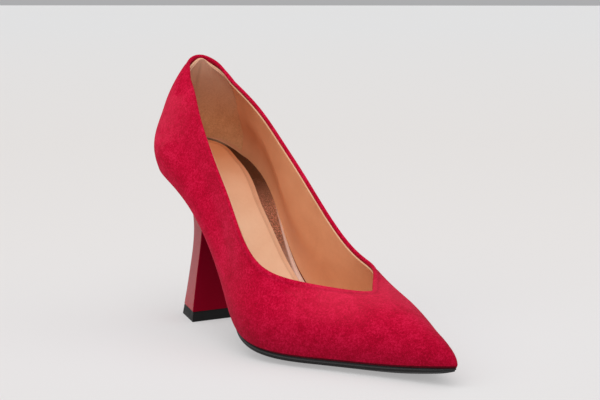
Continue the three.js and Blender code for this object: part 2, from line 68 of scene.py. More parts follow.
def curve(*points):
    """Natural cubic spline through (station, value) pairs."""
    x, y = np.array(points, float).T
    n = len(x)
    m, r = np.zeros((n, n)), np.zeros(n)
    m[0, 0] = m[-1, -1] = 1
    for i in range(1, n - 1):
        a, b = x[i] - x[i - 1], x[i + 1] - x[i]
        m[i, i - 1 : i + 2] = a, 2 * (a + b), b
        r[i] = 6 * ((y[i + 1] - y[i]) / b - (y[i] - y[i - 1]) / a)
    s = np.linalg.solve(m, r)

    def at(t):
        t = np.asarray(t, float)
        k = np.clip(np.searchsorted(x, t) - 1, 0, n - 2)
        h = x[k + 1] - x[k]
        a, b = (x[k + 1] - t) / h, (t - x[k]) / h
        bend = ((a**3 - a) * s[k] + (b**3 - b) * s[k + 1]) * h * h / 6
        return a * y[k] + b * y[k + 1] + bend

    return at


feather = curve((0, 96.5), (20, 86), (40, 77.5), (60, 63.5), (80, 43), (100, 23.5), (120, 12.3),
                (140, 7.6), (160, 5.8), (185, 5.9), (210, 6.7), (242, 10))
ridge = curve((0, 156), (20, 145), (40, 137.5), (60, 136), (90, 131), (115, 107), (140, 73),
              (160, 50), (180, 38), (200, 31.5), (220, 27), (242, 24.5))
ridge_x = curve((0, 0), (60, -0.5), (100, -0.5), (150, 1), (200, 6), (242, 9.5))
middle = curve((0, 0), (30, -3), (60, -4.5), (90, -7), (120, -8.5), (145, -5.5), (170, 3.3),
               (200, 7.5), (220, 8.2), (242, 9.8))
half_width = curve((0, 28), (30, 30.3), (60, 26.7), (90, 25), (120, 31.6), (145, 35.7),
                   (165, 34.8), (185, 28), (205, 18.3), (225, 9.5), (242, 5))
topline_outer = curve((0, 151), (15, 144), (30, 135.5), (45, 125.5), (60, 111.7), (80, 90.5),
                      (100, 73.7), (120, 59.6), (140, 47.8), (160, 41.8), (180, 38))
topline_inner = curve((0, 151), (15, 144), (30, 135.5), (45, 125.7), (60, 116), (80, 104),
                      (100, 88.5), (120, 67), (140, 50.5), (160, 44.7), (180, 38))
bulge = curve((0, 3.2), (60, 3.2), (120, 2), (150, 2.1), (240, 1))
back_lean = curve((0, 0), (12, -2), (25, -2), (45, 6), (60, 12), (100, 24))
crown = curve((0, 0), (50, 0), (75, 0), (100, 0.8), (130, 2.4), (150, 3), (178, 3), (205, 1.9),
              (225, 0.8), (242, 0.2))


def clamp(v):
    return np.clip(v, 0.0, 1.0)


def smooth(v):
    v = clamp(v)
    return v * v * (3 - 2 * v)


def rounded(v, power):
    return (1 - clamp(v) ** power) ** (1 / power)


def slope(f):
    return feather(f + 0.5) - feather(f - 0.5)


def secant(f):
    return np.hypot(1, slope(f))


def unit(v):
    return v / np.maximum(np.linalg.norm(v, axis=-1, keepdims=True), 1e-12)


# ------------------------------------------------------------------ the wall of the shoe
def swelling(a):
    """Bulge of the wall over the featherline: nothing at 0, full at 0.5, gone by BULGE_END."""
    fall = 0.5 * (1 + np.cos(np.pi * clamp((a - 0.5) / (BULGE_END - 0.5))))
    return np.where(a < 0.5, np.sin(np.pi * clamp(a)), fall)


def heel_share(f, inset):
    """1 at the back of a layer, falling to 0 where the heel's round ends."""
    return clamp((HEEL_ROUND - f) / (HEEL_ROUND - inset))


def outline(inset, end, w):
    """Station, heel share and end roundings at w of a layer that stops at the station end."""
    f = inset + (end - inset) * w
    heel = heel_share(f, inset)
    return f, heel, rounded(heel, HEEL_POWER) * rounded((f - end + TOE_ROUND) / TOE_ROUND, TOE_POWER)


def wall_numbers(inset, level, w):
    """Station, heel share, end roundings and height of a wall layer at w."""
    end = LENGTH - inset - TOE_STEP * level
    f, heel, ends = outline(inset, end, w)
    close = rounded((f - end + RIDGE_ROUND) / RIDGE_ROUND, RIDGE_POWER)
    lift = level * secant(f)
    tall = lift + (ridge(f) - inset - feather(f) - lift) * close
    return f, heel, ends, close, lift, tall


def heights(inset, level, q):
    """Height of a layer's foot and of its ridge over the featherline."""
    return wall_numbers(inset, level, q * q)[4:]


def foot_theta(lift, tall):
    """Share of the way up the arch where a layer's foot lies."""
    return 2 / np.pi * np.arcsin(np.minimum(1, lift / np.maximum(tall, 1e-6)))


def phi_between(side, low, high, s):
    """phi at a share s of the way between two places on the arch."""
    return side * (1 - (low + (high - low) * s))


def wall(inset, level, q, phi):
    """Point of a wall layer, an inset below the outer surface."""
    turned = np.where(q < 0, -1.0, 1.0)
    phi = phi * turned
    side = np.where(phi < 0, -1.0, 1.0)
    t = np.sin(np.pi / 2 * (1 - np.abs(phi)))
    f, heel, ends, close, _, tall = wall_numbers(inset, level, q * q)
    g = np.sqrt(np.maximum(0, 1 - clamp(t) ** ARCH_RISE))
    h = t * tall
    foot = middle(f) + side * (half_width(f) - inset) * ends
    reach = np.maximum(np.minimum(BULGE_HEIGHT, tall / BULGE_END), 0.001)
    swell = bulge(f) * close * ends * swelling(h / reach)
    x = ridge_x(f) + (foot - ridge_x(f)) * g + side * swell
    return np.stack([x, -(f + heel * back_lean(h)), feather(f) + h], -1)


def partials(inset, level, q, phi, e=1e-4):
    dq = (wall(inset, level, q + e, phi) - wall(inset, level, q - e, phi)) / (2 * e)
    dphi = (wall(inset, level, q, phi + e) - wall(inset, level, q, phi - e)) / (2 * e)
    return dq, dphi


def solve(dq, dphi, v):
    """How far along q and phi a small step v on the surface goes."""
    a, b, c = (dq * dq).sum(-1), (dq * dphi).sum(-1), (dphi * dphi).sum(-1)
    u, w = (dq * v).sum(-1), (dphi * v).sum(-1)
    det = np.maximum(a * c - b * b, 1e-9)
    return (c * u - b * w) / det, (a * w - b * u) / det


def outward(q, phi):
    """Normal of the outer surface."""
    dq, dphi = partials(0, 0, q, phi)
    return unit(np.cross(dq, dphi))


def nearest(inset, level, target, q, phi, rounds=12):
    """Place on a layer nearest to each target point."""
    for _ in range(rounds):
        dq, dphi = partials(inset, level, q, phi)
        a, b = solve(dq, dphi, target - wall(inset, level, q, phi))
        q = q + np.clip(a, -0.03, 0.03)
        phi = phi + np.clip(b, -0.06, 0.06)
    return q, phi


# ------------------------------------------------------------------ the topline loop
BACK, VAMP = 150, 70          # columns from heel to throat, and from throat to toe
COLUMNS = BACK + VAMP


def top_phi(f, side):
    line = topline_outer(f) if side < 0 else topline_inner(f)
    share = np.where(f >= THROAT, 1.0, np.minimum(1, (line - feather(f)) / (ridge(f) - feather(f))))
    return side * (1 - 2 / np.pi * np.arcsin(share))


def sine_stations(start, end, steps):
    """Stations that lie closer together at both ends."""
    return start + (end - start) * (1 - np.cos(np.pi * np.arange(steps + 1) / steps)) / 2


loop_f = sine_stations(0, THROAT, BACK)
loop_q = np.sqrt(loop_f / LENGTH)
# Once round: outer side from heel to throat, then the inner side back to the heel.
ring_q = np.concatenate([loop_q, loop_q[-2:0:-1]])
ring_phi = np.concatenate([top_phi(loop_f, -1), top_phi(loop_f[-2:0:-1], 1)])
ring = wall(0, 0, ring_q, ring_phi)
ring_n = outward(ring_q, ring_phi)
ring_t = unit(np.roll(ring, -1, 0) - np.roll(ring, 1, 0))
ring_b = unit(np.cross(ring_t, ring_n))           # along the surface, away from the opening
ring_n = unit(np.cross(ring_b, ring_t))


def side_of_ring(values, side):
    """Values of one side of the loop, from the heel to the throat."""
    return values[: BACK + 1] if side < 0 else np.roll(values[::-1], 1, 0)[: BACK + 1]


def once_round(outer_row, inner_row):
    """Joins a row of each side, columns from the heel on, into one loop."""
    return np.concatenate([outer_row[: BACK + 1], inner_row[1:BACK][::-1]])


def edge_on(inset, level, drop, depth):
    """Places on a layer opposite the topline, drop below it and depth inside it."""
    target = ring + drop * ring_b - depth * ring_n
    q, phi = nearest(inset, level, target, ring_q.copy(), ring_phi.copy())
    q[0] = 0.0
    q[1:] = np.maximum(q[1:], 0.0)
    phi[BACK] = 0.0
    return q, phi


def station_columns(edge, side):
    """Lower and upper place along q, and upper phi, of every column of one side."""
    q, phi = (side_of_ring(v, side) for v in edge)
    v = np.arange(COLUMNS + 1) / COLUMNS
    low = np.sqrt((1 - np.cos(np.pi * v)) / 2)
    k = np.arange(1, VAMP + 1) / VAMP
    vamp = np.sqrt((THROAT + (LENGTH - THROAT) * np.sin(np.pi * k / 2)) / LENGTH)
    ahead = (q[-1] - loop_q[-1]) * (1 - k) ** 2
    if side > 0:
        phi = phi.copy()
        phi[0] = -side_of_ring(edge[1], -1)[0]
    return low, np.concatenate([q, vamp + ahead]), np.concatenate([phi, np.zeros(VAMP)])


BAND, BAND_ROWS = 8.0, 14     # height and rows of the finer band under the top edge
ROW_LEAN = 1.4                # rows lean towards their upper place, slowly at first


def side_grid(inset, level, edge, side, rows, start=0.0):
    """q and phi of a side's points, rows from the lower edge up, closer near the top."""
    low, high, phi_end = station_columns(edge, side)
    lift, tall = heights(inset, level, low)
    own = np.where(tall > 1e-6, np.maximum(lift, start) / np.maximum(tall, 1e-6), 1.0)
    theta0 = 2 / np.pi * np.arcsin(np.minimum(own, 1.0 if level else 0.6))
    theta1 = 1 - np.abs(phi_end)
    cut = 1 - BAND / np.maximum(tall * theta1, BAND * 2)
    i = np.arange(rows + 1)[:, None]
    lower = rows - BAND_ROWS
    s = np.where(i <= lower, cut * i / lower, cut + (1 - cut) * (i - lower) / BAND_ROWS)
    return low + (high - low) * s**ROW_LEAN, phi_between(side, theta0, theta1, s)


# ------------------------------------------------------------------ meshes
def add_object(name, data):
    obj = bpy.data.objects.new(name, data)
    bpy.context.scene.collection.objects.link(obj)
    return obj


class Shape:
    """Patches of quads in millimetres, welded into one mesh."""

    def __init__(self):
        self.points, self.quads, self.tags, self.values, self.count = [], [], [], [], 0

    def patch(self, grid, tag=0, flip=False, value=0.0, closed=False):
        grid = np.asarray(grid, float)
        r, c = grid.shape[:2]
        index = self.count + np.arange(r * c).reshape(r, c)
        if closed:
            index = np.concatenate([index, index[:, :1]], 1)
        q = np.stack([index[:-1, :-1], index[1:, :-1], index[1:, 1:], index[:-1, 1:]], -1)
        q = q.reshape(-1, 4)
        self.points.append(grid.reshape(-1, 3))
        self.values.append(np.broadcast_to(value, (r, c)).reshape(-1).astype(float))
        self.quads.append(q[:, ::-1] if flip else q)
        self.tags.append(np.full(len(q), tag))
        self.count += r * c

    def make(self, name, materials, slot, replaces, angle):
        points, values = np.concatenate(self.points), np.concatenate(self.values)
        key = np.round(points * 1000).astype(np.int64)
        _, first, inverse = np.unique(key, axis=0, return_index=True, return_inverse=True)
        quads = inverse.ravel()[np.concatenate(self.quads)]
        tags = np.concatenate(self.tags)
        faces, face_tags, seen = [], [], set()
        for quad, tag in zip(quads.tolist(), tags.tolist()):
            face = [v for n, v in enumerate(quad) if v != quad[n - 1]]
            if len(set(face)) < 3 or len(set(face)) < len(face):
                continue
            mark = tuple(sorted(face))
            if mark not in seen:
                seen.add(mark)
                faces.append(face)
                face_tags.append(tag)
        mesh = bpy.data.meshes.new(name)
        place = (points[first] + FRAME_SHIFT) * MM
        mesh.from_pydata(place.tolist(), [], faces)
        attribute = mesh.attributes.new("mask", "FLOAT", "POINT")
        attribute.data.foreach_set("value", values[first].astype(np.float32))
        for material in materials:
            mesh.materials.append(material)
        mesh.polygons.foreach_set("material_index", np.array(face_tags, np.int32))
        turn_out(mesh)
        mesh.shade_smooth()
        mesh.set_sharp_from_angle(angle=math.radians(angle))
        mesh.update()
        obj = add_object(name, mesh)
        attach(obj, "root")
        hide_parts(*replaces)
        return obj


def turn_out(mesh):
    """Makes the faces of a closed mesh agree and turns them the right way out."""
    work = bmesh.new()
    work.from_mesh(mesh)
    bmesh.ops.recalc_face_normals(work, faces=work.faces)
    if work.calc_volume(signed=True) < 0:
        bmesh.ops.reverse_faces(work, faces=work.faces)
    work.to_mesh(mesh)
    work.free()


def distance_to(points, line, steps=6):
    """Distance from each point to a closed line of points."""
    t = np.arange(steps) / steps
    dense = line[:, None] * (1 - t)[:, None] + np.roll(line, -1, 0)[:, None] * t[:, None]
    dense = dense.reshape(-1, 3)
    tree = kdtree.KDTree(len(dense))
    for n, p in enumerate(dense):
        tree.insert(Vector(p), n)
    tree.balance()
    flat = points.reshape(-1, 3)
    return np.array([tree.find(Vector(p))[2] for p in flat]).reshape(points.shape[:-1])


def closed_sheet(outer, inner, value=0.0):
    """Shape of a sheet: two matching grids and the four edges between them."""
    shape = Shape()
    value = np.broadcast_to(value, outer.shape[:2])
    shape.patch(outer, 0, False, value)
    shape.patch(inner, 0, True, value)
    for n, flip in ((0, True), (-1, False)):
        shape.patch(np.stack([outer[n], inner[n]]), 0, flip, value[n])
        shape.patch(np.stack([outer[:, n], inner[:, n]]), 0, not flip, value[:, n])
    return shape


def edge_strip(outer, inner, away, height, steps=5):
    """Half a turn from one loop to the other; away points off the edge."""
    a = np.linspace(0, np.pi, steps + 1)[:, None, None]
    centre, half = (outer + inner) / 2, (outer - inner) / 2
    return centre + half * np.cos(a) + away * height * np.sin(a)


# ------------------------------------------------------------------ layers of the bottom
def bottom(x, f, level):
    """Point of a bottom layer at position x and station f, a level above the featherline."""
    across = clamp(np.abs(x - middle(f)) / half_width(f))
    n = secant(f)
    z = feather(f) - crown(f) * (1 - across * across) + level / n
    return np.stack(np.broadcast_arrays(x, -(f - level * slope(f) / n), z), -1)


MARGIN_LEAST = 0.4            # least share of the half width inside a margin


def margin_half(f, inset):
    """Half width between the lasted margins, an inset in from the featherline."""
    return np.maximum(half_width(f) - inset, MARGIN_LEAST * half_width(f))


def margin_line(inset, level, side, w):
    """Line along the lasting margin, an inset in from the featherline."""
    f, _, ends = outline(inset, LENGTH - inset, w)
    return bottom(middle(f) + side * margin_half(f, inset) * ends, f, level)


# ------------------------------------------------------------------ upper
UPPER_ROWS = 66
FEATHER_ROUND = 1.3
CREASE = -1.0                 # mask value of the bend under the featherline, where the suede is painted dark as shade
step_q, step_phi = solve(*partials(0, 0, ring_q, ring_phi), ring_b * RIM)
step_q[0] = step_phi[BACK] = 0.0
rim_edge = np.maximum(ring_q + step_q, 0), ring_phi + step_phi


VALLEY_DEPTH, VALLEY_AT, VALLEY_WIDTH = 0.20, 2.7, 0.85
SPLICE_FROM, SPLICE_LENGTH = 9, 12      # below the topline, where the inner face changes its rule


def valley(d):
    """Shallow valley that the fold leaves below the topline, gone at the topline itself."""
    return VALLEY_DEPTH * np.exp(-(((d - VALLEY_AT) / VALLEY_WIDTH) ** 2)) * smooth(d / 1.5)


def make_upper():
    shape = Shape()
    starts = []
    for side in (-1, 1):
        q, phi = side_grid(0, 0, rim_edge, side, UPPER_ROWS, start=FEATHER_ROUND)
        outer = wall(0, 0, q, phi)
        normal = outward(q, phi)
        d = distance_to(outer, ring)
        if side > 0:
            outer[:, 0] = starts[0][0][:, 0]
            normal[:, 0] = starts[0][1][:, 0]
        thick = UPPER_THICK + (FOLD_THICK - UPPER_THICK) * (1 - smooth((d - FOLD_DEPTH) / 1.5))
        by_normal = outer - thick[..., None] * normal
        low = q[0] ** 2
        lift, tall = heights(UPPER_THICK, UPPER_THICK, q)
        own = lift / np.maximum(tall, 1e-6)
        t = own + (1 - own) * np.sin(np.pi / 2 * (1 - np.abs(phi)))
        by_inset = wall(UPPER_THICK, UPPER_THICK, q, side * (1 - 2 / np.pi * np.arcsin(clamp(t))))
        near = (1 - smooth((d - SPLICE_FROM) / SPLICE_LENGTH))[..., None]
        inner = near * by_normal + (1 - near) * by_inset
        skin = outer - valley(d)[..., None] * normal
        if side > 0:
            skin[:, 0], inner[:, 0] = starts[0][2][:, 0], starts[0][3][:, 0]
        starts.append((outer, normal, skin, inner))
        shape.patch(skin, 0, side > 0, d)
        shape.patch(inner, 1, side < 0, d)
        # The rounded bend at the featherline, then the margin lasted under the insole.
        corner = wall(0, 0, q[0], np.full(COLUMNS + 1, side * 1.0))
        under = margin_line(FEATHER_ROUND, 0.0, side, low)
        centre = skin[0] + under - corner
        a = np.linspace(0, np.pi / 2, 6)[:, None, None]
        bend = centre + (skin[0] - centre) * np.cos(a) + (under - centre) * np.sin(a)
        lines = [margin_line(MARGIN * k, 0.0, side, low) for k in (0.25, 0.5, 0.75, 1)]
        top = [margin_line(MARGIN * k, UPPER_THICK, side, low) for k in (1, 0.6, 0.25)]
        shape.patch(bend, 0, side < 0, CREASE)
        shape.patch(np.stack([bend[-1], *lines]), 0, side < 0, CREASE)
        shape.patch(np.stack([lines[-1], *top, inner[0]]), 1, side < 0, 60.0)
    # The folded edge: half a turn from the outer to the inner face, all the way round.
    out_ring, in_ring = (once_round(starts[0][n][-1], starts[1][n][-1]) for n in (2, 3))
    shape.patch(edge_strip(out_ring, in_ring, -ring_b, RIM, 10), 0, False, 0.0, closed=True)
    return shape


# ------------------------------------------------------------------ lining
def lean_out(grid, q, phi):
    """Moves the points near the topline out against the folded edge of the upper."""
    near = 1 - smooth(distance_to(grid, ring) / LEAN_DEPTH)
    return grid + (LEAN * near)[..., None] * outward(q, phi)


def side_layer(shape, inset, rows, flip):
    """Both sides of a face of the lining; gives the top loop and the two bottom lines."""
    edge = edge_on(inset, WALL_LEVEL, LINING_DROP, inset)
    tops, bottoms = [], []
    for side in (-1, 1):
        q, phi = side_grid(inset, WALL_LEVEL, edge, side, rows)
        grid = lean_out(wall(inset, WALL_LEVEL, q, phi), q, phi)
        if side > 0:
            grid[:, 0] = first
        first = grid[:, 0].copy()
        shape.patch(grid, 0, (side > 0) != flip)
        tops.append(grid[-1])
        bottoms.append(grid[0])
    return once_round(*tops), bottoms


def make_lining():
    shape = Shape()
    out_top, out_low = side_layer(shape, LINING_OUT, 50, False)
    in_top, in_low = side_layer(shape, LINING_IN, 60, True)
    shape.patch(edge_strip(out_top, in_top, -ring_b, CUT_ROUND), 1, False, 1.0, closed=True)
    for side, a, b in zip((-1, 1), out_low, in_low):
        shape.patch(np.stack([a, b]), 0, side < 0)
    return shape


# ------------------------------------------------------------------ partial wall layers
INTERLINING_FROM, INTERLINING_TO, INTERLINING_DROP = 76, 152, 9.0
COUNTER_END, COUNTER_DROP, COUNTER_SLANT = 0.43, 9.5, 0.16     # end along q, slant of its front
PUFF_FROM, PUFF_LENGTH = 201, 41


def stiff_sheet(face):
    """Sheet between the two faces of the stiffening."""
    return closed_sheet(face(STIFF_OUT), face(STIFF_IN))


def stiff_side(inset, q, side, drop, rows, slant=0.0):
    """One side of a stiffener at the columns q, up to a drop below the topline."""
    lift, tall = heights(inset, WALL_LEVEL, q)
    high = 1 - np.abs(top_phi(q * q * LENGTH, side)) - drop / tall / (np.pi / 2) - slant
    s = np.linspace(0, 1, rows + 1)[:, None]
    return wall(inset, WALL_LEVEL, q, phi_between(side, foot_theta(lift, tall), high, s))


def make_interlining(side):
    u = np.linspace(0, 1, 61)
    q = np.sqrt((INTERLINING_FROM + (INTERLINING_TO - INTERLINING_FROM) * u) / LENGTH)
    return stiff_sheet(lambda inset: stiff_side(inset, q, side, INTERLINING_DROP, 30))


def make_counter():
    u = np.linspace(0, 1, 41)
    slant = COUNTER_SLANT * smooth((u - 0.45) / 0.55) ** 2

    def face(inset):
        left, right = (stiff_side(inset, COUNTER_END * u, side, COUNTER_DROP, 30, slant) for side in (-1, 1))
        return np.concatenate([left[:, :0:-1], right], 1)
    return stiff_sheet(face)


def make_puff():
    u = np.sin(np.linspace(0, np.pi / 2, 45))
    q = np.sqrt((PUFF_FROM + PUFF_LENGTH * u) / LENGTH)[:, None]
    s = np.linspace(-1, 1, 61)
    return stiff_sheet(lambda inset: wall(
        inset, WALL_LEVEL, q + 0 * s, s * (1 - foot_theta(*heights(inset, WALL_LEVEL, q)))))


# ------------------------------------------------------------------ heel grip
BACK_FROM, BACK_FADE = 3.0, 19.0
BACK_RISE, COVER_CURL, GRIP_RISE = 1.6, 1.0, 3.1


def at_back(f):
    """1 at the very back, fading to 0 where the seat starts."""
    return 1 - smooth((f - BACK_FROM) / BACK_FADE)


def seated(x, f, level, rise):
    """Point of a bottom layer that comes up by rise at the back and reaches the wall there."""
    point = bottom(x, f, level)
    wall_y = -(f + heel_share(f, COVER_INSET) * back_lean(level * secant(f) + rise))
    push = at_back(f) * (wall_y - point[..., 1])
    point[..., 1] += push
    point[..., 2] += rise * at_back(f) - slope(f) * push
    return point


GRIP_ARM, GRIP_TALL, GRIP_SKIVE = 20.0, 60.0, 5.0       # about its size, and its skived edge
NOTCH_DEPTH, NOTCH_WIDTH = 1.6, 0.05
SEAM_DEPTH, SEAM_WIDTH = 0.25, 0.045
GRIP_TUCK = 0.35              # how far the grip's top goes up past the lining's edge
FRONT_FOOT, FRONT_TOP = 2.8, 1.5        # how far its front draws back at the foot and at the top


def make_grip():
    """Heel grip: a suede patch with a notch at the back, skived thin at its front and foot."""
    rows, cols = 44, 34
    edge_q, edge_phi = edge_on(GRIP_OUT, GRIP_LEVEL, LINING_DROP - GRIP_TUCK, GRIP_OUT)
    s = np.linspace(0, 1, rows + 1)[:, None]
    u = np.linspace(0, 1, cols + 1)
    faces, normals = [], []
    for side in (-1, 1):
        front = GRIP_FRONT - FRONT_FOOT * (1 - s) ** 2 - FRONT_TOP * smooth((s - 0.9) / 0.1) ** 2
        q = np.sqrt(front / LENGTH) * u
        phi_top = np.interp(q, side_of_ring(edge_q, side), np.abs(side_of_ring(edge_phi, side)))
        lift, tall = heights(GRIP_OUT, GRIP_LEVEL, q)
        rise = GRIP_RISE * at_back(q * q * LENGTH)
        theta0 = 2 / np.pi * np.arcsin((lift + rise) / tall)
        notch = NOTCH_DEPTH * np.exp(-((u / NOTCH_WIDTH) ** 2)) * smooth((s - 0.9) / 0.1)
        phi = phi_between(side, theta0, 1 - phi_top - notch / tall / (np.pi / 2), s)
        faces.append(lean_out(wall(GRIP_OUT, GRIP_LEVEL, q, phi), q, phi))
        normals.append(outward(q, phi))
    back, away = (np.concatenate([g[0][:, :0:-1], g[1]], 1) for g in (faces, normals))
    across = np.abs(np.linspace(-1, 1, 2 * cols + 1))
    free = np.minimum((1 - across) * GRIP_ARM, s * GRIP_TALL)     # distance from a free edge
    thick = GRIP_SKIVED + (GRIP_THICK - GRIP_SKIVED) * smooth(free / GRIP_SKIVE)
    # The centre seam shows as a faint crease in the suede.
    crease = SEAM_DEPTH * np.exp(-((across / SEAM_WIDTH) ** 2)) * smooth((1 - s) / 0.2)
    face = back - (thick - crease)[..., None] * away
    # The crease depth goes on as the mask, where the grip's material paints shade.
    return closed_sheet(back, face, crease)


# ------------------------------------------------------------------ insole cover, foam, sock
COVER_INSET, COVER_LOW, COVER_TOP, COVER_ROLL, COVER_ROLL_WIDTH = 3.8, 3.6, 4.0, 0.35, 1.4


def cover_half(f):
    """The cover reaches out to the lining, which swells over the featherline."""
    swell = bulge(f) * swelling(COVER_TOP * secant(f) / BULGE_HEIGHT)
    return half_width(f) - COVER_INSET + 0.9 * swell * (1 - smooth((f - 120) / 40))


def make_cover():
    """Metallic cover over the insole board, its edge turned down round the board."""
    s = np.sin(np.linspace(-np.pi / 2, np.pi / 2, 49))
    end = LENGTH - COVER_INSET
    f, _, ends = outline(COVER_INSET, end, sine_stations(0, 1, 160)[:, None])
    rim = np.minimum((1 - np.abs(s)) * cover_half(f), np.minimum(f - COVER_INSET, end - f))
    roll = COVER_ROLL * (1 - np.sqrt(1 - (1 - clamp(rim / COVER_ROLL_WIDTH)) ** 2))
    x = middle(f) + s * cover_half(f) * ends
    curl = BACK_RISE + COVER_CURL * (1 - smooth(rim / COVER_ROLL_WIDTH))
    high = seated(x, f, COVER_TOP - roll * (1 - at_back(f)), curl)
    return closed_sheet(high, seated(x, f, COVER_LOW, 0.0), rim)


def sock_half(f):
    """Half width of the sock: its own outline, kept inside the round of the heel and toe."""
    seat_round = rounded(heel_share(f, SOCK_FROM), HEEL_POWER)
    seat_round = np.maximum((half_width(f) - LINING_IN) * seat_round, 1e-6)
    blended = (SOCK_HALF(f) ** -SOCK_CORNER + seat_round ** -SOCK_CORNER) ** (-1 / SOCK_CORNER)
    return blended * rounded((f - SOCK_TO + SOCK_ROUND) / SOCK_ROUND, 2)


SOCK_HALF = curve((0, 19), (18, 20.7), (27, 20.8), (38, 19.6), (47, 17.8), (60, 15.4), (70, 15.9),
                  (80, 17), (88, 18.4), (96, 20.7), (105, 23.6), (120, 27.4), (145, 31.4), (165, 30.4),
                  (185, 23.6), (205, 14), (225, 5.3))
SOCK_FROM, SOCK_TO, SOCK_ROUND, SOCK_CORNER = 4.9, 212.0, 16.0, 10.0
arc_f = np.linspace(0, LENGTH, 969)
arc_s = np.concatenate([[0], np.cumsum((secant(arc_f)[1:] + secant(arc_f)[:-1]) / 2 * np.diff(arc_f))])


def to_arc(f):
    return np.interp(f, arc_f, arc_s)


def from_arc(s):
    return np.interp(s, arc_s, arc_f)


def sock_rings(distances, steps=150):
    """Outline of the sock and lines inside it at given distances, measured on its surface."""
    f = sine_stations(SOCK_FROM, SOCK_TO, steps)
    x = sock_half(f)
    x[0] = x[-1] = 0.0
    mid = middle(f)
    line = np.stack([np.concatenate([mid - x, (mid + x)[-2:0:-1]]),
                     np.concatenate([to_arc(f), to_arc(f)[-2:0:-1]])], -1)
    tangent = unit(np.roll(line, -1, 0) - np.roll(line, 1, 0))
    inward = np.stack([tangent[:, 1], -tangent[:, 0]], -1)
    return [line + d * inward for d in distances], steps


SOCK_EDGE, SOCK_TOP, SOCK_THICK, SOCK_RISE = 4.85, 6.4, 0.75, 5.2
SOCK_PROFILE = [  # distance in from the edge, height under the sock's own level
    (0.0, 0.7), (0.06, 0.42), (0.2, 0.2), (0.45, 0.06), (0.8, 0.0), (1.6, 0.0), (2.4, 0.0),
    (3.0, 0.0), (3.2, 0.03), (3.4, 0.12), (3.6, 0.03), (3.85, 0.0), (4.1, 0.03), (4.3, 0.12),
    (4.5, 0.03), (4.75, 0.0), (5.2, 0.0),
]


def sock_level(d):
    """Level of the sock's top: on the cover at its edge, on the foam further in, up at the back."""
    return SOCK_EDGE + (SOCK_TOP - SOCK_EDGE) * smooth((d - 0.6) / (SOCK_RISE - 0.6))


def make_sock():
    shape = Shape()
    distances = np.array([d for d, _ in SOCK_PROFILE])
    rings, steps = sock_rings(distances)

    def lift(line, d, down):
        f = from_arc(line[..., 1])
        return seated(line[..., 0], f, sock_level(d) - down, BACK_RISE)

    top = np.stack([lift(r, d, dip) for r, (d, dip) in zip(rings, SOCK_PROFILE)])
    shape.patch(top, 0, False, distances[:, None], closed=True)
    # The middle, between the last ring's outer and inner side.
    last = rings[-1]
    left = last[: steps + 1]
    right = np.concatenate([last[:1], last[: steps - 1 : -1][: steps]])
    k = np.linspace(0, 1, 25)[None, :, None]
    inside = left[:, None] * (1 - k) + right[:, None] * k
    d = np.full(inside.shape[:2], distances[-1])
    shape.patch(lift(inside, d, 0.0), 0, False, d)
    # Underside, a thickness below.
    picked = [n for n, (_, dip) in enumerate(SOCK_PROFILE) if dip == 0.0 or n == 0]
    under = np.stack([lift(rings[n], distances[n], SOCK_THICK) for n in picked])
    shape.patch(under, 1, True, 0.0, closed=True)
    shape.patch(lift(inside, d, SOCK_THICK), 1, True, 0.0)
    shape.patch(np.stack([top[0], under[0]]), 0, True, 0.0, closed=True)
    return shape


def pad(f_from, f_to, low, high, steps, cols, half, ends_round, edge):
    """Soft strip between two stations and two levels, with rounded ends and a rounded rim."""
    f = sine_stations(f_from, f_to, steps)[:, None]
    s = np.sin(np.linspace(-np.pi / 2, np.pi / 2, cols + 1))
    end = np.minimum(f - f_from, f_to - f) / ends_round
    ends = rounded(1 - clamp(end), 2)
    x = middle(f) + s * half(f) * ends
    rim = np.minimum((1 - np.abs(s)) * half(f), np.minimum(f - f_from, f_to - f))
    drop = edge * (1 - np.sqrt(clamp(1 - (1 - clamp(rim / edge)) ** 2)))
    mid = (low + high) / 2
    return closed_sheet(bottom(x, f, np.maximum(high - drop, mid)), bottom(x, f, np.minimum(low + drop, mid)))


def make_foam():
    """Pad under the sock, from heel to ball."""
    return pad(f_from=11, f_to=148, low=4.3, high=5.35, steps=110, cols=30,
               half=lambda f: sock_half(f) - 5.0, ends_round=18, edge=0.5)


def make_filler():
    """Cork sheet in the hollow between the lasted margins."""
    return pad(f_from=124, f_to=221, low=0.12, high=1.18, steps=80, cols=24,
               half=lambda f: margin_half(f, MARGIN) - 0.6, ends_round=10, edge=0.3)


# ------------------------------------------------------------------ outsole
SOLE_FROM, SOLE_TO = 50.2, LENGTH - 0.8
SOLE_HIGH = -0.03
sole_inset = curve((48, 10), (80, 8.5), (100, 5.5), (116, 1.8), (128, 0.8), (160, 0.8), (242, 0.8))
sole_low = curve((48, -1.9), (90, -1.7), (110, -1.9), (135, -2.7), (175, -2.7), (215, -2.5), (230, -2.1),
                 (238, -1.5), (242, -0.7))
SOLE_BELLY = 0.7              # how much thicker the sole is in its middle
BELLY_FROM, BELLY_FADE, BELLY_EDGE = 110, 20, 0.4      # stations, and share of the half width
SOLE_EDGE = [  # share of the edge's height, how far in
    (0.0, 0.75), (0.03, 0.42), (0.1, 0.16), (0.2, 0.03), (0.32, 0.0), (0.5, 0.0), (0.55, 0.05),
    (0.59, 0.22), (0.63, 0.22), (0.67, 0.05), (0.72, 0.0), (0.88, 0.0), (0.96, 0.1), (1.0, 0.35),
]


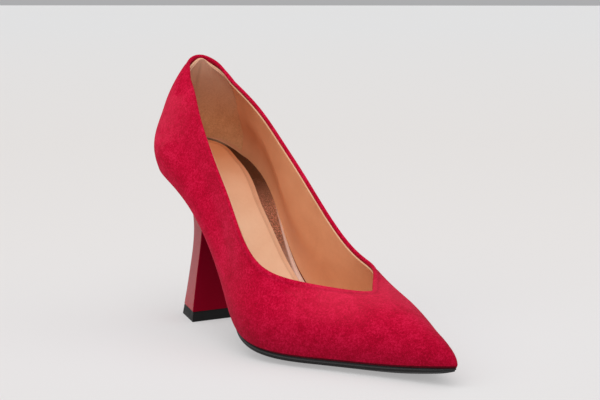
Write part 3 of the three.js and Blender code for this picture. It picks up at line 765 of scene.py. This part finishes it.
def make_sole():
    shape = Shape()
    f = SOLE_FROM + (SOLE_TO - SOLE_FROM) * np.sin(np.pi * np.arange(201) / 400)
    ends = rounded((f - SOLE_TO + TOE_ROUND) / TOE_ROUND, TOE_POWER)
    low = sole_low(f)
    half = (half_width(f) - sole_inset(f)) * ends

    def place(s, inset, level):
        h = np.maximum(half - inset * ends, 0)
        belly = SOLE_BELLY * smooth((1 - abs(s)) / BELLY_EDGE) * (level < SOLE_HIGH)
        belly = belly * smooth((f - BELLY_FROM) / BELLY_FADE)
        p = bottom(middle(f) + s * h, f - inset * smooth((f - 225) / 16), level - belly)
        p[..., 2] = np.maximum(0, p[..., 2])
        return p

    edges = []
    for side in (-1, 1):
        lines = [place(side, inset, low + (SOLE_HIGH - low) * t) for t, inset in SOLE_EDGE]
        edges.append(lines)
        shape.patch(np.stack(lines), 0, side < 0, np.array([t for t, _ in SOLE_EDGE])[:, None])
    s = np.linspace(-1, 1, 33)
    back_ends = []
    for n, tag, value in ((0, 1, 0.0), (-1, 0, 1.0)):       # the tread, then the hidden top
        t, inset = SOLE_EDGE[n]
        grid = np.stack([place(k, inset, low + (SOLE_HIGH - low) * t) for k in s])
        grid[0], grid[-1] = edges[0][n], edges[1][n]
        shape.patch(grid, tag, n == -1, value)
        back_ends.append(grid[:, 0])
    # Square end at the heel breast.
    k = ((s + 1) / 2)[:, None]
    face = [a[0] * (1 - k) + b[0] * k for a, b in zip(edges[0][1:-1], edges[1][1:-1])]
    shape.patch(np.stack([back_ends[0], *face, back_ends[1]]))
    return shape


# ------------------------------------------------------------------ heel
breast_line = curve((0, 41.3), (25, 42), (50, 43.4), (65, 45.6), (74, 47.6))
breast_half = curve((0, 19.9), (28, 16.6), (50, 14.3), (64, 14.6), (76, 16))
rear_line = curve((0, 13), (14, 15.5), (28, 18.3), (55, 20.3), (70, 17), (86, 11))
rear_half = curve((0, 11.5), (14, 10), (28, 9), (55, 7.6), (70, 8.5), (86, 10.5))
HEEL_ROWS, HEEL_STEPS = 48, 6
TOP_GAP = 0.05                # between the heel tip and the covers


def heel_side(z, inset, back, corner, steps=HEEL_STEPS):
    """Half outline of the heel in plan at height z: side, rounded rear corner, rear."""
    fb, fr = breast_line(z) - back, rear_line(z) + inset
    lean = (breast_half(z) - rear_half(z)) / (breast_line(z) - rear_line(z))
    across = inset * np.hypot(1, lean)

    def half_at(f):
        return breast_half(z) - (breast_line(z) - f) * lean - across

    turn = np.pi / 2 - np.arctan(lean)
    reach = corner * np.tan(turn / 2)
    arm = fr + reach * np.cos(np.arctan(lean))
    points = [(half_at(f), f) for f in (fb + (arm - fb) * k / steps for k in range(steps + 1))]
    cx, cf = half_at(fr) - reach, fr + corner
    for k in range(1, 2 * steps + 1):
        a = turn * (1 - k / (2 * steps))
        points.append((cx + corner * np.sin(a), cf - corner * np.cos(a)))
    points += [(cx * (1 - k / steps), fr + 0 * cx) for k in range(1, steps + 1)]
    return np.array(points)                     # one (half, station) pair for each point


def seat(f):
    return feather(f) + SOLE_HIGH * secant(f)


TOP_GUESS, TOP_ROUNDS = 80.0, 40      # the height where an upright meets the seat, found by halving


def upright(station):
    """Heights of the rows of an upright line that stands at station(z), from the tip to the seat."""
    top = TOP_GUESS
    for _ in range(TOP_ROUNDS):
        top = (top + seat(station(top))) / 2
    low = TOP_PIECE + TOP_GAP
    return low + (top - low) * np.arange(HEEL_ROWS + 1) / HEEL_ROWS


def heel_grid(inset, corner):
    """Grid round the heel, rows going up and columns from the outer breast edge to the inner."""
    grids = []
    for side in (-1, 1):
        columns = []
        for n in range(4 * HEEL_STEPS + 1):
            z = upright(lambda h: heel_side(h, inset, WRAP_BACK, corner)[n][1])
            x, f = heel_side(z, inset, WRAP_BACK, corner)[n]
            columns.append(np.stack([HEEL_CENTRE + side * x, -f, z], -1))
        grids.append(np.stack(columns, 1))
    return np.concatenate([grids[0], grids[1][:, -2::-1]], 1)


WRAP_BACK = WRAP_THICK + 0.06


def make_wrap():
    return closed_sheet(heel_grid(0.0, HEEL_CORNER), heel_grid(WRAP_THICK, HEEL_CORNER - WRAP_THICK))


BREAST_ROUND = 0.42           # radius of the front panel's upright edges


def make_breast():
    """Panel over the front of the heel, with softly rounded upright edges."""
    radius = BREAST_ROUND
    profile = [(-1, WRAP_THICK, 0.0), (-1, radius, 0.0)]
    for a in np.linspace(0, np.pi / 2, 6)[1:]:
        profile.append((-1, radius * (1 - np.sin(a)), radius * (1 - np.cos(a))))
    across = [(s, 0.0, 0.0) for s in np.linspace(-1, 1, 17)[1:-1]]
    profile = profile + across + [(1, b, i) for _, b, i in profile[::-1]]
    columns = []
    for s, back, inset in profile:
        z = upright(lambda h: breast_line(h) - back)
        x = s * (breast_half(z) - (radius if abs(s) < 1 else inset))
        columns.append(np.stack([HEEL_CENTRE + x, -(breast_line(z) - back), z], -1))
    face = np.stack(columns, 1)
    k = np.linspace(0, 1, face.shape[1])[None, :, None]
    rear = face[:, :1] * (1 - k) + face[:, -1:] * k
    shape = Shape()
    shape.patch(face, 0)
    shape.patch(rear, 0, True)
    shape.patch(np.stack([face[0], rear[0]]), 0, True)
    shape.patch(np.stack([face[-1], rear[-1]]), 0)
    return shape


TIP_INSET, TIP_CORNER_EASE = 0.12, 0.3
TIP_PROFILE = [(0.0, 0.5), (0.08, 0.22), (0.28, 0.04), (0.6, 0.0), (5.2, 0.0), (5.7, 0.02),
               (5.92, 0.12), (6.0, 0.3)]


def make_tip():
    """Top piece: the heel's outline carried down to the floor, with eased edges."""
    shape = Shape()
    rings = []
    for z, eased in TIP_PROFILE:
        inset = TIP_INSET + eased
        line = heel_side(np.array(z), inset, inset, HEEL_CORNER - TIP_CORNER_EASE * eased)
        left, right = (np.stack([HEEL_CENTRE + side * line[:, 0], -line[:, 1], np.full(len(line), z)], -1)
                       for side in (-1, 1))
        front = [left[0] * (1 - k) + right[0] * k for k in np.linspace(0, 1, 9)[1:-1]]
        rings.append(np.concatenate([left, right[-2::-1], np.array(front)[::-1]]))
    shape.patch(np.stack(rings), 0, False, 0.5, closed=True)
    for ring_points, flip in ((rings[0], True), (rings[-1], False)):
        centre = ring_points.mean(0)
        k = np.linspace(0, 1, 6)[:, None, None]
        shape.patch(ring_points * (1 - k) + centre * k, 0, flip, 0.5, closed=True)
    return shape


# ------------------------------------------------------------------ materials
class Paint:
    """A node material under construction."""

    def __init__(self, name, roughness, **sockets):
        self.material = bpy.data.materials.new(name)
        self.material.use_nodes = True
        self.tree = self.material.node_tree
        self.shader = next(n for n in self.tree.nodes if n.type == "BSDF_PRINCIPLED")
        self.set("Roughness", roughness)
        for socket, value in sockets.items():
            self.set(socket.replace("_", " "), value)
        self.place = self.node("ShaderNodeTexCoord").outputs["Object"]

    def node(self, kind, inputs=(), **settings):
        n = self.tree.nodes.new(kind)
        for key, value in settings.items():
            setattr(n, key, value)
        for key, value in dict(inputs).items():
            self.feed(n.inputs[key], value)
        return n

    def feed(self, socket, value):
        """Gives an input a number or colour, or links another node's output to it."""
        if isinstance(value, bpy.types.NodeSocket):
            self.tree.links.new(value, socket)
        else:
            socket.default_value = value

    def set(self, socket, value):
        self.feed(self.shader.inputs[socket], value)

    def stretched(self, x, y, z, turn=(0, 0, 0)):
        n = self.node("ShaderNodeMapping", {"Vector": self.place, "Scale": (x, y, z), "Rotation": turn})
        return n.outputs["Vector"]

    def noise(self, size, detail=2.0, rough=0.5, distortion=0.0, place=None):
        """Noise whose features are about size millimetres."""
        n = self.node("ShaderNodeTexNoise", {
            "Vector": place or self.place, "Scale": 1000.0 / size, "Detail": detail,
            "Roughness": rough, "Distortion": distortion})
        return n.outputs["Fac"]

    def cells(self, size, feature="F1"):
        n = self.node("ShaderNodeTexVoronoi", {"Vector": self.place, "Scale": 1000.0 / size},
                      feature=feature)
        return n.outputs["Distance"]

    def ramp(self, fac, *stops):
        n = self.node("ShaderNodeValToRGB", {"Fac": fac})
        elements = n.color_ramp.elements
        while len(elements) < len(stops):
            elements.new(0.5)
        for element, (position, colour) in zip(elements, stops):
            element.position = position
            if not isinstance(colour, tuple):
                colour = (colour, colour, colour)
            element.color = (*colour, 1)
        return n.outputs["Color"]

    def calc(self, operation, a, b=0.0, c=0.0):
        n = self.node("ShaderNodeMath", {0: a, 1: b, 2: c}, operation=operation)
        return n.outputs[0]

    def times(self, first, *others):
        for factor in others:
            first = self.calc("MULTIPLY", first, factor)
        return first

    def weighted(self, *terms):
        """Sum of values, each times its weight."""
        total = self.times(*terms[0])
        for value, weight in terms[1:]:
            total = self.calc("MULTIPLY_ADD", value, weight, total)
        return total

    def blend(self, fac, a, b, kind="MIX"):
        n = self.node("ShaderNodeMix", data_type="RGBA", blend_type=kind)
        for key, value in ((0, fac), (6, a), (7, b)):
            self.feed(n.inputs[key], (*value, 1) if isinstance(value, tuple) else value)
        return n.outputs[2]

    def mask(self):
        return self.node("ShaderNodeAttribute", attribute_name="mask").outputs["Fac"]

    def along(self, axis):
        """Position along an axis, in millimetres of the row frame."""
        n = self.node("ShaderNodeSeparateXYZ", {"Vector": self.place})
        return self.calc("MULTIPLY", n.outputs["XYZ".index(axis)], 1000.0)

    def span(self, value, low, high):
        """0 where the value is low, 1 where it is high."""
        n = self.node("ShaderNodeMapRange", {"Value": value, "From Min": low, "From Max": high})
        return n.outputs["Result"]

    def colour(self, fac, *stops):
        self.set("Base Color", self.ramp(fac, *stops))

    def dull(self, fac, low, high):
        """Roughness from low to high along the middle of a noise."""
        self.set("Roughness", self.ramp(fac, (0.3, low), (0.7, high)))

    def base(self):
        return self.shader.inputs["Base Color"].links[0].from_socket

    def tint(self, fac, colour):
        """Multiplies the base colour by a colour where fac is 1."""
        self.set("Base Color", self.blend(fac, self.base(), colour, "MULTIPLY"))

    def glaze(self, fac, colour):
        """Replaces the base colour by a colour where fac is 1."""
        self.set("Base Color", self.blend(fac, self.base(), colour))

    def bump(self, height, depth, strength):
        """Bump of a depth in millimetres."""
        inputs = {"Height": height, "Distance": depth * MM, "Strength": strength}
        if self.shader.inputs["Normal"].is_linked:
            inputs["Normal"] = self.shader.inputs["Normal"].links[0].from_socket
        self.set("Normal", self.node("ShaderNodeBump", inputs).outputs["Normal"])
        return self


def suede(name, dark, mid, light, sheen, tint):
    """Napped leather: brushed patches, fine streaks and a speckled nap."""
    p = Paint(name, 0.95, Sheen_Weight=sheen, Sheen_Roughness=0.5, Sheen_Tint=(*tint, 1),
              Specular_IOR_Level=0.06)
    brushed = p.noise(13, 4, 0.6, 0.8)
    streaks = p.noise(3.6, 3, 0.65, 0.3, p.stretched(1.0, 0.6, 1.2, (0.5, 0.3, 0.2)))
    nap, fibre = p.noise(1.15, 3, 0.75), p.noise(0.5, 2, 0.7)
    value = p.weighted((streaks, 0.12), (brushed, 0.20), (nap, 0.38), (fibre, 0.30))
    p.colour(value, (0.42, dark), (0.50, mid), (0.59, light))
    p.dull(nap, 0.88, 1.0)
    p.bump(fibre, 0.10, 0.6).bump(nap, 0.22, 0.6).bump(streaks, 0.3, 0.25)
    return p


def red_suede():
    p = suede("red_suede", (0.345, 0.0002, 0.016), (0.485, 0.0006, 0.027), (0.66, 0.010, 0.060),
              0.08, (1.0, 0.24, 0.36))
    y, z = p.along("Y"), p.along("Z")
    # Darker towards the bottom of the upper: painted shade near the sole.
    p.tint(p.span(z, 30.0, 7.0), (0.62, 0.5, 0.62))
    # Painted shade: nearly black in the bend under the featherline, where the mask is CREASE.
    p.tint(p.span(p.mask(), -0.2, -0.9), (0.25, 0.25, 0.25))
    # Lighter over the rear quarter and round the throat: painted light where light falls from above, partly
    # the nap's own brushed patches.
    patches = p.times(p.calc("SUBTRACT", p.noise(15, 4, 0.65, 0.8), 0.5), 75.0)
    height = p.calc("ADD", z, patches)
    quarter = p.times(p.span(height, 98.0, 110.0), p.span(height, 128.0, 116.0), p.span(y, 70.0, 96.0))
    length = p.calc("ADD", y, p.times(patches, 0.5))
    throat = p.times(p.span(length, -88.0, -66.0), p.span(length, -36.0, -56.0), p.span(z, 22.0, 36.0))
    p.glaze(p.times(p.calc("MAXIMUM", quarter, throat), 0.28), (0.85, 0.05, 0.11))
    # Painted shade along the valley below the topline, fading out towards the heel.
    fold = p.ramp(p.calc("DIVIDE", p.mask(), 10.0), (0.0, 1.0), (0.17, 0.97), (0.27, 0.80), (0.42, 1.0))
    p.tint(p.span(y, 50.0, 0.0), fold)
    return p.material


def suede_back():
    """Red near the fold, a little lighter than the outer suede: painted light against the shade inside the
    fold; past it the inner face is the paler back of the hide.
    """
    p = suede("red_suede_back", (0.38, 0.0006, 0.018), (0.53, 0.002, 0.030), (0.68, 0.014, 0.065),
              0.1, (1.0, 0.3, 0.4))
    p.glaze(p.times(p.span(p.mask(), 5.0, 6.0), 0.7), (0.34, 0.03, 0.045))
    return p.material


def grip_suede():
    p = suede("beige_suede", (0.57, 0.268, 0.120), (0.66, 0.330, 0.152), (0.74, 0.395, 0.195),
              0.10, (1.0, 0.85, 0.7))
    # Paler and greyer towards its top, warmer below: painted light, from above at the top and bounced off the
    # tan lining below.
    p.glaze(p.span(p.along("Z"), 112.0, 146.0), (0.62, 0.35, 0.24))
    # Darker where the centre seam's crease is (the mask): painted shade.
    p.tint(p.span(p.mask(), 0.0, 0.25), (0.86, 0.86, 0.86))
    return p.material


def leather(name, dark, mid, light, roughness=0.5, grain=0.05):
    p = Paint(name, roughness, Specular_IOR_Level=0.3)
    cloudy, fine = p.noise(22, 3, 0.5, 0.5), p.noise(1.6, 3, 0.6)
    p.colour(p.weighted((fine, 0.25), (cloudy, 0.75)), (0.34, dark), (0.50, mid), (0.66, light))
    p.dull(fine, roughness - 0.08, roughness + 0.08)
    p.bump(p.cells(0.75, "SMOOTH_F1"), grain, 0.5).bump(fine, grain * 1.5, 0.4)
    return p


def sock_leather():
    """Tan leather, darker at its rim and in its two embossed lines."""
    p = leather("sock_leather", (0.86, 0.530, 0.330), (0.90, 0.580, 0.372), (0.93, 0.620, 0.410))
    # Darker and more orange towards the heel: painted shade under the back of the shoe.
    p.tint(p.span(p.along("Y"), 45.0, 105.0), (0.84, 0.50, 0.32))
    line = p.ramp(p.calc("DIVIDE", p.mask(), 12.0),
                  (0.0, 0.62), (0.03, 1.0), (0.262, 1.0), (0.283, 0.66), (0.304, 1.0), (0.337, 1.0),
                  (0.358, 0.66), (0.379, 1.0))
    p.tint(1.0, line)
    return p.material


def bronze_foil():
    """Foil in its own bronze: painted shade darkens it at the heel, and painted reflection makes it coppery
    at the waist and grey ahead of it.
    """
    p = Paint("bronze_foil", 0.34, Metallic=0.75, Specular_IOR_Level=0.5)
    wobble, crinkle, y = p.noise(4, 4, 0.65, 0.3), p.noise(0.8, 4, 0.8), p.along("Y")
    # Where along the foil a point lies, wobbled: painted shade at the heel, painted reflection further
    # forward.
    shifted = p.calc("MULTIPLY_ADD", p.calc("SUBTRACT", wobble, 0.5), 18.0, y)
    colour_and_light_place = p.calc("MULTIPLY_ADD", p.calc("SUBTRACT", crinkle, 0.5), 30.0, shifted)
    p.colour(
        p.span(colour_and_light_place, 110.0, 10.0), (0.20, (0.11, 0.050, 0.022)), (0.33, (0.14, 0.066, 0.032)),
        (0.44, (0.26, 0.15, 0.10)), (0.54, (0.34, 0.21, 0.14)), (0.62, (0.32, 0.21, 0.14)),
        (0.70, (0.26, 0.18, 0.13)), (0.80, (0.46, 0.37, 0.32)), (0.90, (0.82, 0.78, 0.74)))
    # Painted glints: coppery highlights flecked over the waist.
    p.glaze(p.times(p.span(crinkle, 0.48, 0.56), p.span(y, 70.0, 56.0), p.span(y, 28.0, 44.0)),
            (0.86, 0.47, 0.33))
    # A painted highlight: a silver rim, wider towards the front.
    width = p.calc("MULTIPLY_ADD", p.span(y, 62.0, 20.0), 3.2, 0.3)
    rim = p.times(p.span(p.calc("DIVIDE", p.mask(), width), 1.2, 0.8), p.span(y, 62.0, 46.0))
    p.glaze(rim, (1.0, 0.99, 0.96))
    p.dull(crinkle, 0.26, 0.46)
    p.bump(crinkle, 0.09, 0.6)
    return p.material


def sole_edge():
    """Black, with a painted grey highlight in its groove."""
    p = Paint("black_sole", 0.42, Specular_IOR_Level=0.25)
    wear = p.noise(9, 4, 0.6)
    p.colour(wear, (0.35, 0.003), (0.7, 0.009))
    p.glaze(p.ramp(p.mask(), (0.50, 0.0), (0.57, 1.0), (0.66, 1.0), (0.74, 0.0)), (0.055, 0.055, 0.055))
    p.dull(wear, 0.34, 0.52)
    p.bump(p.noise(0.5, 2, 0.6), 0.04, 0.5)
    return p.material


def lacquer(name, strength):
    """Red gloss, a little lighter towards its foot: painted light, as from the bright floor."""
    p = Paint(name, 0.2, Specular_IOR_Level=0.04, Specular_Tint=(1.0, 0.2, 0.25, 1))
    depth, peel = p.noise(30, 2, 0.5), p.noise(3.2, 2, 0.5)
    p.colour(depth, (0.3, (0.29 * strength, 0.0004, 0.009)), (0.7, (0.34 * strength, 0.0008, 0.012)))
    p.glaze(p.times(p.span(p.along("Z"), 45.0, 5.0), 0.5), (0.46 * strength, 0.002, 0.014))
    p.dull(peel, 0.15, 0.25)
    p.bump(peel, 0.02, 0.3)
    return p.material


def cloth():
    p = Paint("interlining_cloth", 0.95, Specular_IOR_Level=0.15, Sheen_Weight=0.2)
    waves = [p.node("ShaderNodeTexWave", {"Vector": p.place, "Scale": 420.0, "Distortion": 0.6,
                                          "Detail": 1.0}, bands_direction=d).outputs["Fac"] for d in "YZ"]
    weave = p.calc("MAXIMUM", *waves)
    p.colour(weave, (0.2, (0.66, 0.63, 0.56)), (0.9, (0.86, 0.84, 0.78)))
    p.bump(weave, 0.12, 0.8)
    return p.material


def plain(name, roughness, noise, stops, bumps, dull=None, stretch=None, **sockets):
    """Colour along one noise; a bump is a texture, or None for that noise, its depth and strength."""
    p = Paint(name, roughness, **sockets)
    tone = p.noise(*noise, place=p.stretched(*stretch) if stretch else None)
    p.colour(tone, *stops)
    if dull:
        p.dull(tone, *dull)
    for texture, depth, strength in bumps:
        p.bump(getattr(p, texture[0])(*texture[1:]) if texture else tone, depth, strength)
    return p.material


look = {
    "suede": red_suede(),
    "suede_back": suede_back(),
    "lining": leather("tan_leather", (0.68, 0.292, 0.139), (0.725, 0.323, 0.158),
                      (0.765, 0.352, 0.178)).material,
    "cut_edge": leather("tan_leather_cut_edge", (0.66, 0.36, 0.20), (0.74, 0.43, 0.25),
                        (0.80, 0.49, 0.31), 0.75, 0.08).material,
    "grip": grip_suede(),
    "sock": sock_leather(),
    "bronze": bronze_foil(),
    "sole_edge": sole_edge(),
    "tread": plain("black_sole_tread", 0.62, (14, 4, 0.6, 0.4),
                   [(0.35, (0.010, 0.010, 0.011)), (0.7, (0.024, 0.023, 0.023))],
                   [(("cells", 0.9, "SMOOTH_F1"), 0.12, 0.6)], (0.55, 0.75), Specular_IOR_Level=0.35),
    "lacquer": lacquer("red_lacquer", 1.0),
    # A darker copy for the heel's breast: painted shade under the shoe.
    "lacquer_breast": lacquer("red_lacquer_breast", 0.58),
    "rubber": plain("top_piece_rubber", 0.6, (6, 4, 0.65, 0.5), [(0.35, 0.004), (0.7, 0.011)],
                    [(("noise", 0.45, 2, 0.6), 0.07, 0.6)], (0.5, 0.72), Specular_IOR_Level=0.2),
    "counter": plain("counter_board", 0.85, (1.4, 4, 0.7),
                     [(0.35, (0.62, 0.55, 0.42)), (0.65, (0.80, 0.74, 0.62))],
                     [(None, 0.06, 0.5), (("noise", 12, 2), 0.1, 0.2)], Specular_IOR_Level=0.25),
    "cloth": cloth(),
    "fibre": plain("insole_fibre", 0.9, (1.0, 5, 0.75, 0.3),
                   [(0.35, (0.36, 0.28, 0.17)), (0.65, (0.56, 0.47, 0.32))], [(None, 0.08, 0.6)],
                   stretch=(1, 0.3, 1), Specular_IOR_Level=0.2),
    "foam": plain("foam", 0.95, (9, 2), [(0.3, (0.74, 0.63, 0.38)), (0.7, (0.86, 0.77, 0.52))],
                  [(("cells", 0.55), 0.2, 0.8)], Specular_IOR_Level=0.15, Subsurface_Weight=0.1),
    "cork": plain("cork", 0.93, (2.0, 3, 0.7), [(0.32, (0.13, 0.066, 0.03)), (0.5, (0.34, 0.19, 0.09)),
                                                (0.68, (0.47, 0.29, 0.15))],
                  [(("cells", 1.7), 0.3, 0.7)], Specular_IOR_Level=0.2),
    "steel": plain("steel", 0.36, (0.8, 3, 0.6), [(0.3, (0.47, 0.47, 0.49)), (0.7, (0.66, 0.66, 0.68))],
                   [(None, 0.02, 0.4)], (0.3, 0.46), (1, 0.06, 1), Metallic=1.0),
    "plastic": plain("heel_plastic", 0.5, (16, 2), [(0.3, (0.64, 0.62, 0.55)), (0.7, (0.74, 0.72, 0.66))],
                     [(("noise", 0.9, 2), 0.04, 0.5)], Specular_IOR_Level=0.4),
}

# ------------------------------------------------------------------ the shoe's pieces
PIECES = [  # CAD node, its shape, name, looks, slot, angle of a sharp edge
    ("suede_upper", make_upper(), "upper_of_red_suede", "suede suede_back", "red_suede", 60),
    ("leather_lining", make_lining(), "lining_of_tan_leather", "lining cut_edge", "tan_leather", 50),
    ("heel_grip", make_grip(), "heel_grip_patch", "grip", "beige_suede", 50),
    ("heel_counter", make_counter(), "heel_counter_shell", "counter", "counter_board", 40),
    ("toe_puff", make_puff(), "toe_puff_shell", "counter", "counter_board", 40),
    ("interlining_lateral", make_interlining(-1), "side_interlining_lateral", "cloth",
     "interlining_cloth", 40),
    ("interlining_medial", make_interlining(1), "side_interlining_medial", "cloth",
     "interlining_cloth", 40),
    ("insole_cover", make_cover(), "insole_cover_foil", "bronze", "bronze_leather", 40),
    ("sock_foam", make_foam(), "sock_foam_pad", "foam", "foam", 40),
    ("sock_lining", make_sock(), "sock_of_tan_leather", "sock grip", "tan_leather", 60),
    ("bottom_filler", make_filler(), "cork_filler_sheet", "cork", "cork", 40),
    ("outsole", make_sole(), "outsole_with_edge", "sole_edge tread", "black_sole", 50),
    ("heel_wrap", make_wrap(), "heel_cover_gloss", "lacquer", "red_lacquer", 50),
    ("breast_cover", make_breast(), "heel_breast_gloss", "lacquer_breast", "red_lacquer", 50),
    ("top_piece", make_tip(), "heel_tip_rubber", "rubber", "top_piece_rubber", 40),
]
drawn = {node: shape.make(name, [look[key] for key in looks.split()], slot, (node,), angle)
         for node, shape, name, looks, slot, angle in PIECES}

KEPT = {"insole_board": "fibre", "heel_core": "plastic"}      # the other kept nodes are steel
for name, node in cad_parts.items():
    if node.hide_render:
        continue
    material = look[KEPT.get(name, "steel")]
    for n in range(max(1, len(node.data.materials))):
        if n < len(node.data.materials):
            node.data.materials[n] = material
        else:
            node.data.materials.append(material)

# ------------------------------------------------------------------ floor, light and camera
floor_paint = Paint("pale_floor", 0.8, Specular_IOR_Level=0.1, Emission_Strength=0.36)
distance = floor_paint.node("ShaderNodeVectorMath", {0: floor_paint.place}, operation="LENGTH")
reach = floor_paint.calc("LOGARITHM", distance.outputs["Value"], 10.0)   # from 0.1 m to 10 m
tone = floor_paint.ramp(floor_paint.span(reach, -1.0, 1.0), (0.0, (1.0, 0.985, 0.985)),
                        (0.3, (0.985, 0.955, 0.94)), (0.55, (0.96, 0.93, 0.91)), (1.0, (0.935, 0.935, 0.935)))
floor_paint.set("Base Color", floor_paint.blend(1.0, tone, (0.43, 0.43, 0.43), "MULTIPLY"))
floor_paint.set("Emission Color", tone)
FLOOR_RADIUS, FLOOR_SIDES = 60.0, 96
floor_mesh = bpy.data.meshes.new("studio_floor")
rim = [(FLOOR_RADIUS * math.cos(a), FLOOR_RADIUS * math.sin(a), 0.0)
       for a in (2 * math.pi * n / FLOOR_SIDES for n in range(FLOOR_SIDES))]
floor_mesh.from_pydata(rim, [], [list(range(FLOOR_SIDES))])
floor_mesh.materials.append(floor_paint.material)
floor = add_object("studio_floor", floor_mesh)

world = bpy.data.worlds.new("studio")
bpy.context.scene.world = world
world.use_nodes = True
background = world.node_tree.nodes["Background"]
background.inputs["Color"].default_value = (0.985, 0.985, 1.0, 1)
background.inputs["Strength"].default_value = 0.42


def direction(azimuth, elevation):
    """Unit vector towards a place seen at these angles, in degrees."""
    a, e = math.radians(azimuth), math.radians(elevation)
    return Vector((math.sin(a) * math.cos(e), -math.cos(a) * math.cos(e), math.sin(e)))


def soft_sun(name, azimuth, elevation, strength, spread):
    """Broad parallel light, as from a very large softbox."""
    light = bpy.data.lights.new(name, "SUN")
    light.energy, light.angle = strength, math.radians(spread)
    obj = add_object(name, light)
    way = direction(azimuth, elevation)
    obj.rotation_mode = "QUATERNION"
    obj.rotation_quaternion = way.to_track_quat("Z", "Y")
    obj.location = way * 2


soft_sun("key_left", -62, 50, 1.6, 80)
soft_sun("fill_right", 30, 60, 0.82, 90)

CAMERA_AZIMUTH, CAMERA_ELEVATION, CAMERA_ROLL = -32.47, 7.31, 0.03
CAMERA_TARGET, CAMERA_DISTANCE = (0.00808, 0.00848, 0.07594), 0.83124
camera_data = bpy.data.cameras.new("camera")
camera_data.sensor_width = 36.0
camera_data.lens = 93.21
camera_data.clip_start, camera_data.clip_end = 0.05, 200.0
camera = add_object("camera", camera_data)
bpy.context.scene.camera = camera
back = direction(CAMERA_AZIMUTH, CAMERA_ELEVATION)
camera.location = Vector(CAMERA_TARGET) + back * CAMERA_DISTANCE
camera.rotation_mode = "QUATERNION"
roll = Matrix.Rotation(math.radians(CAMERA_ROLL), 3, "Z").to_quaternion()
camera.rotation_quaternion = (-back).to_track_quat("-Z", "Y") @ roll

bpy.context.scene.view_settings.view_transform = "Standard"
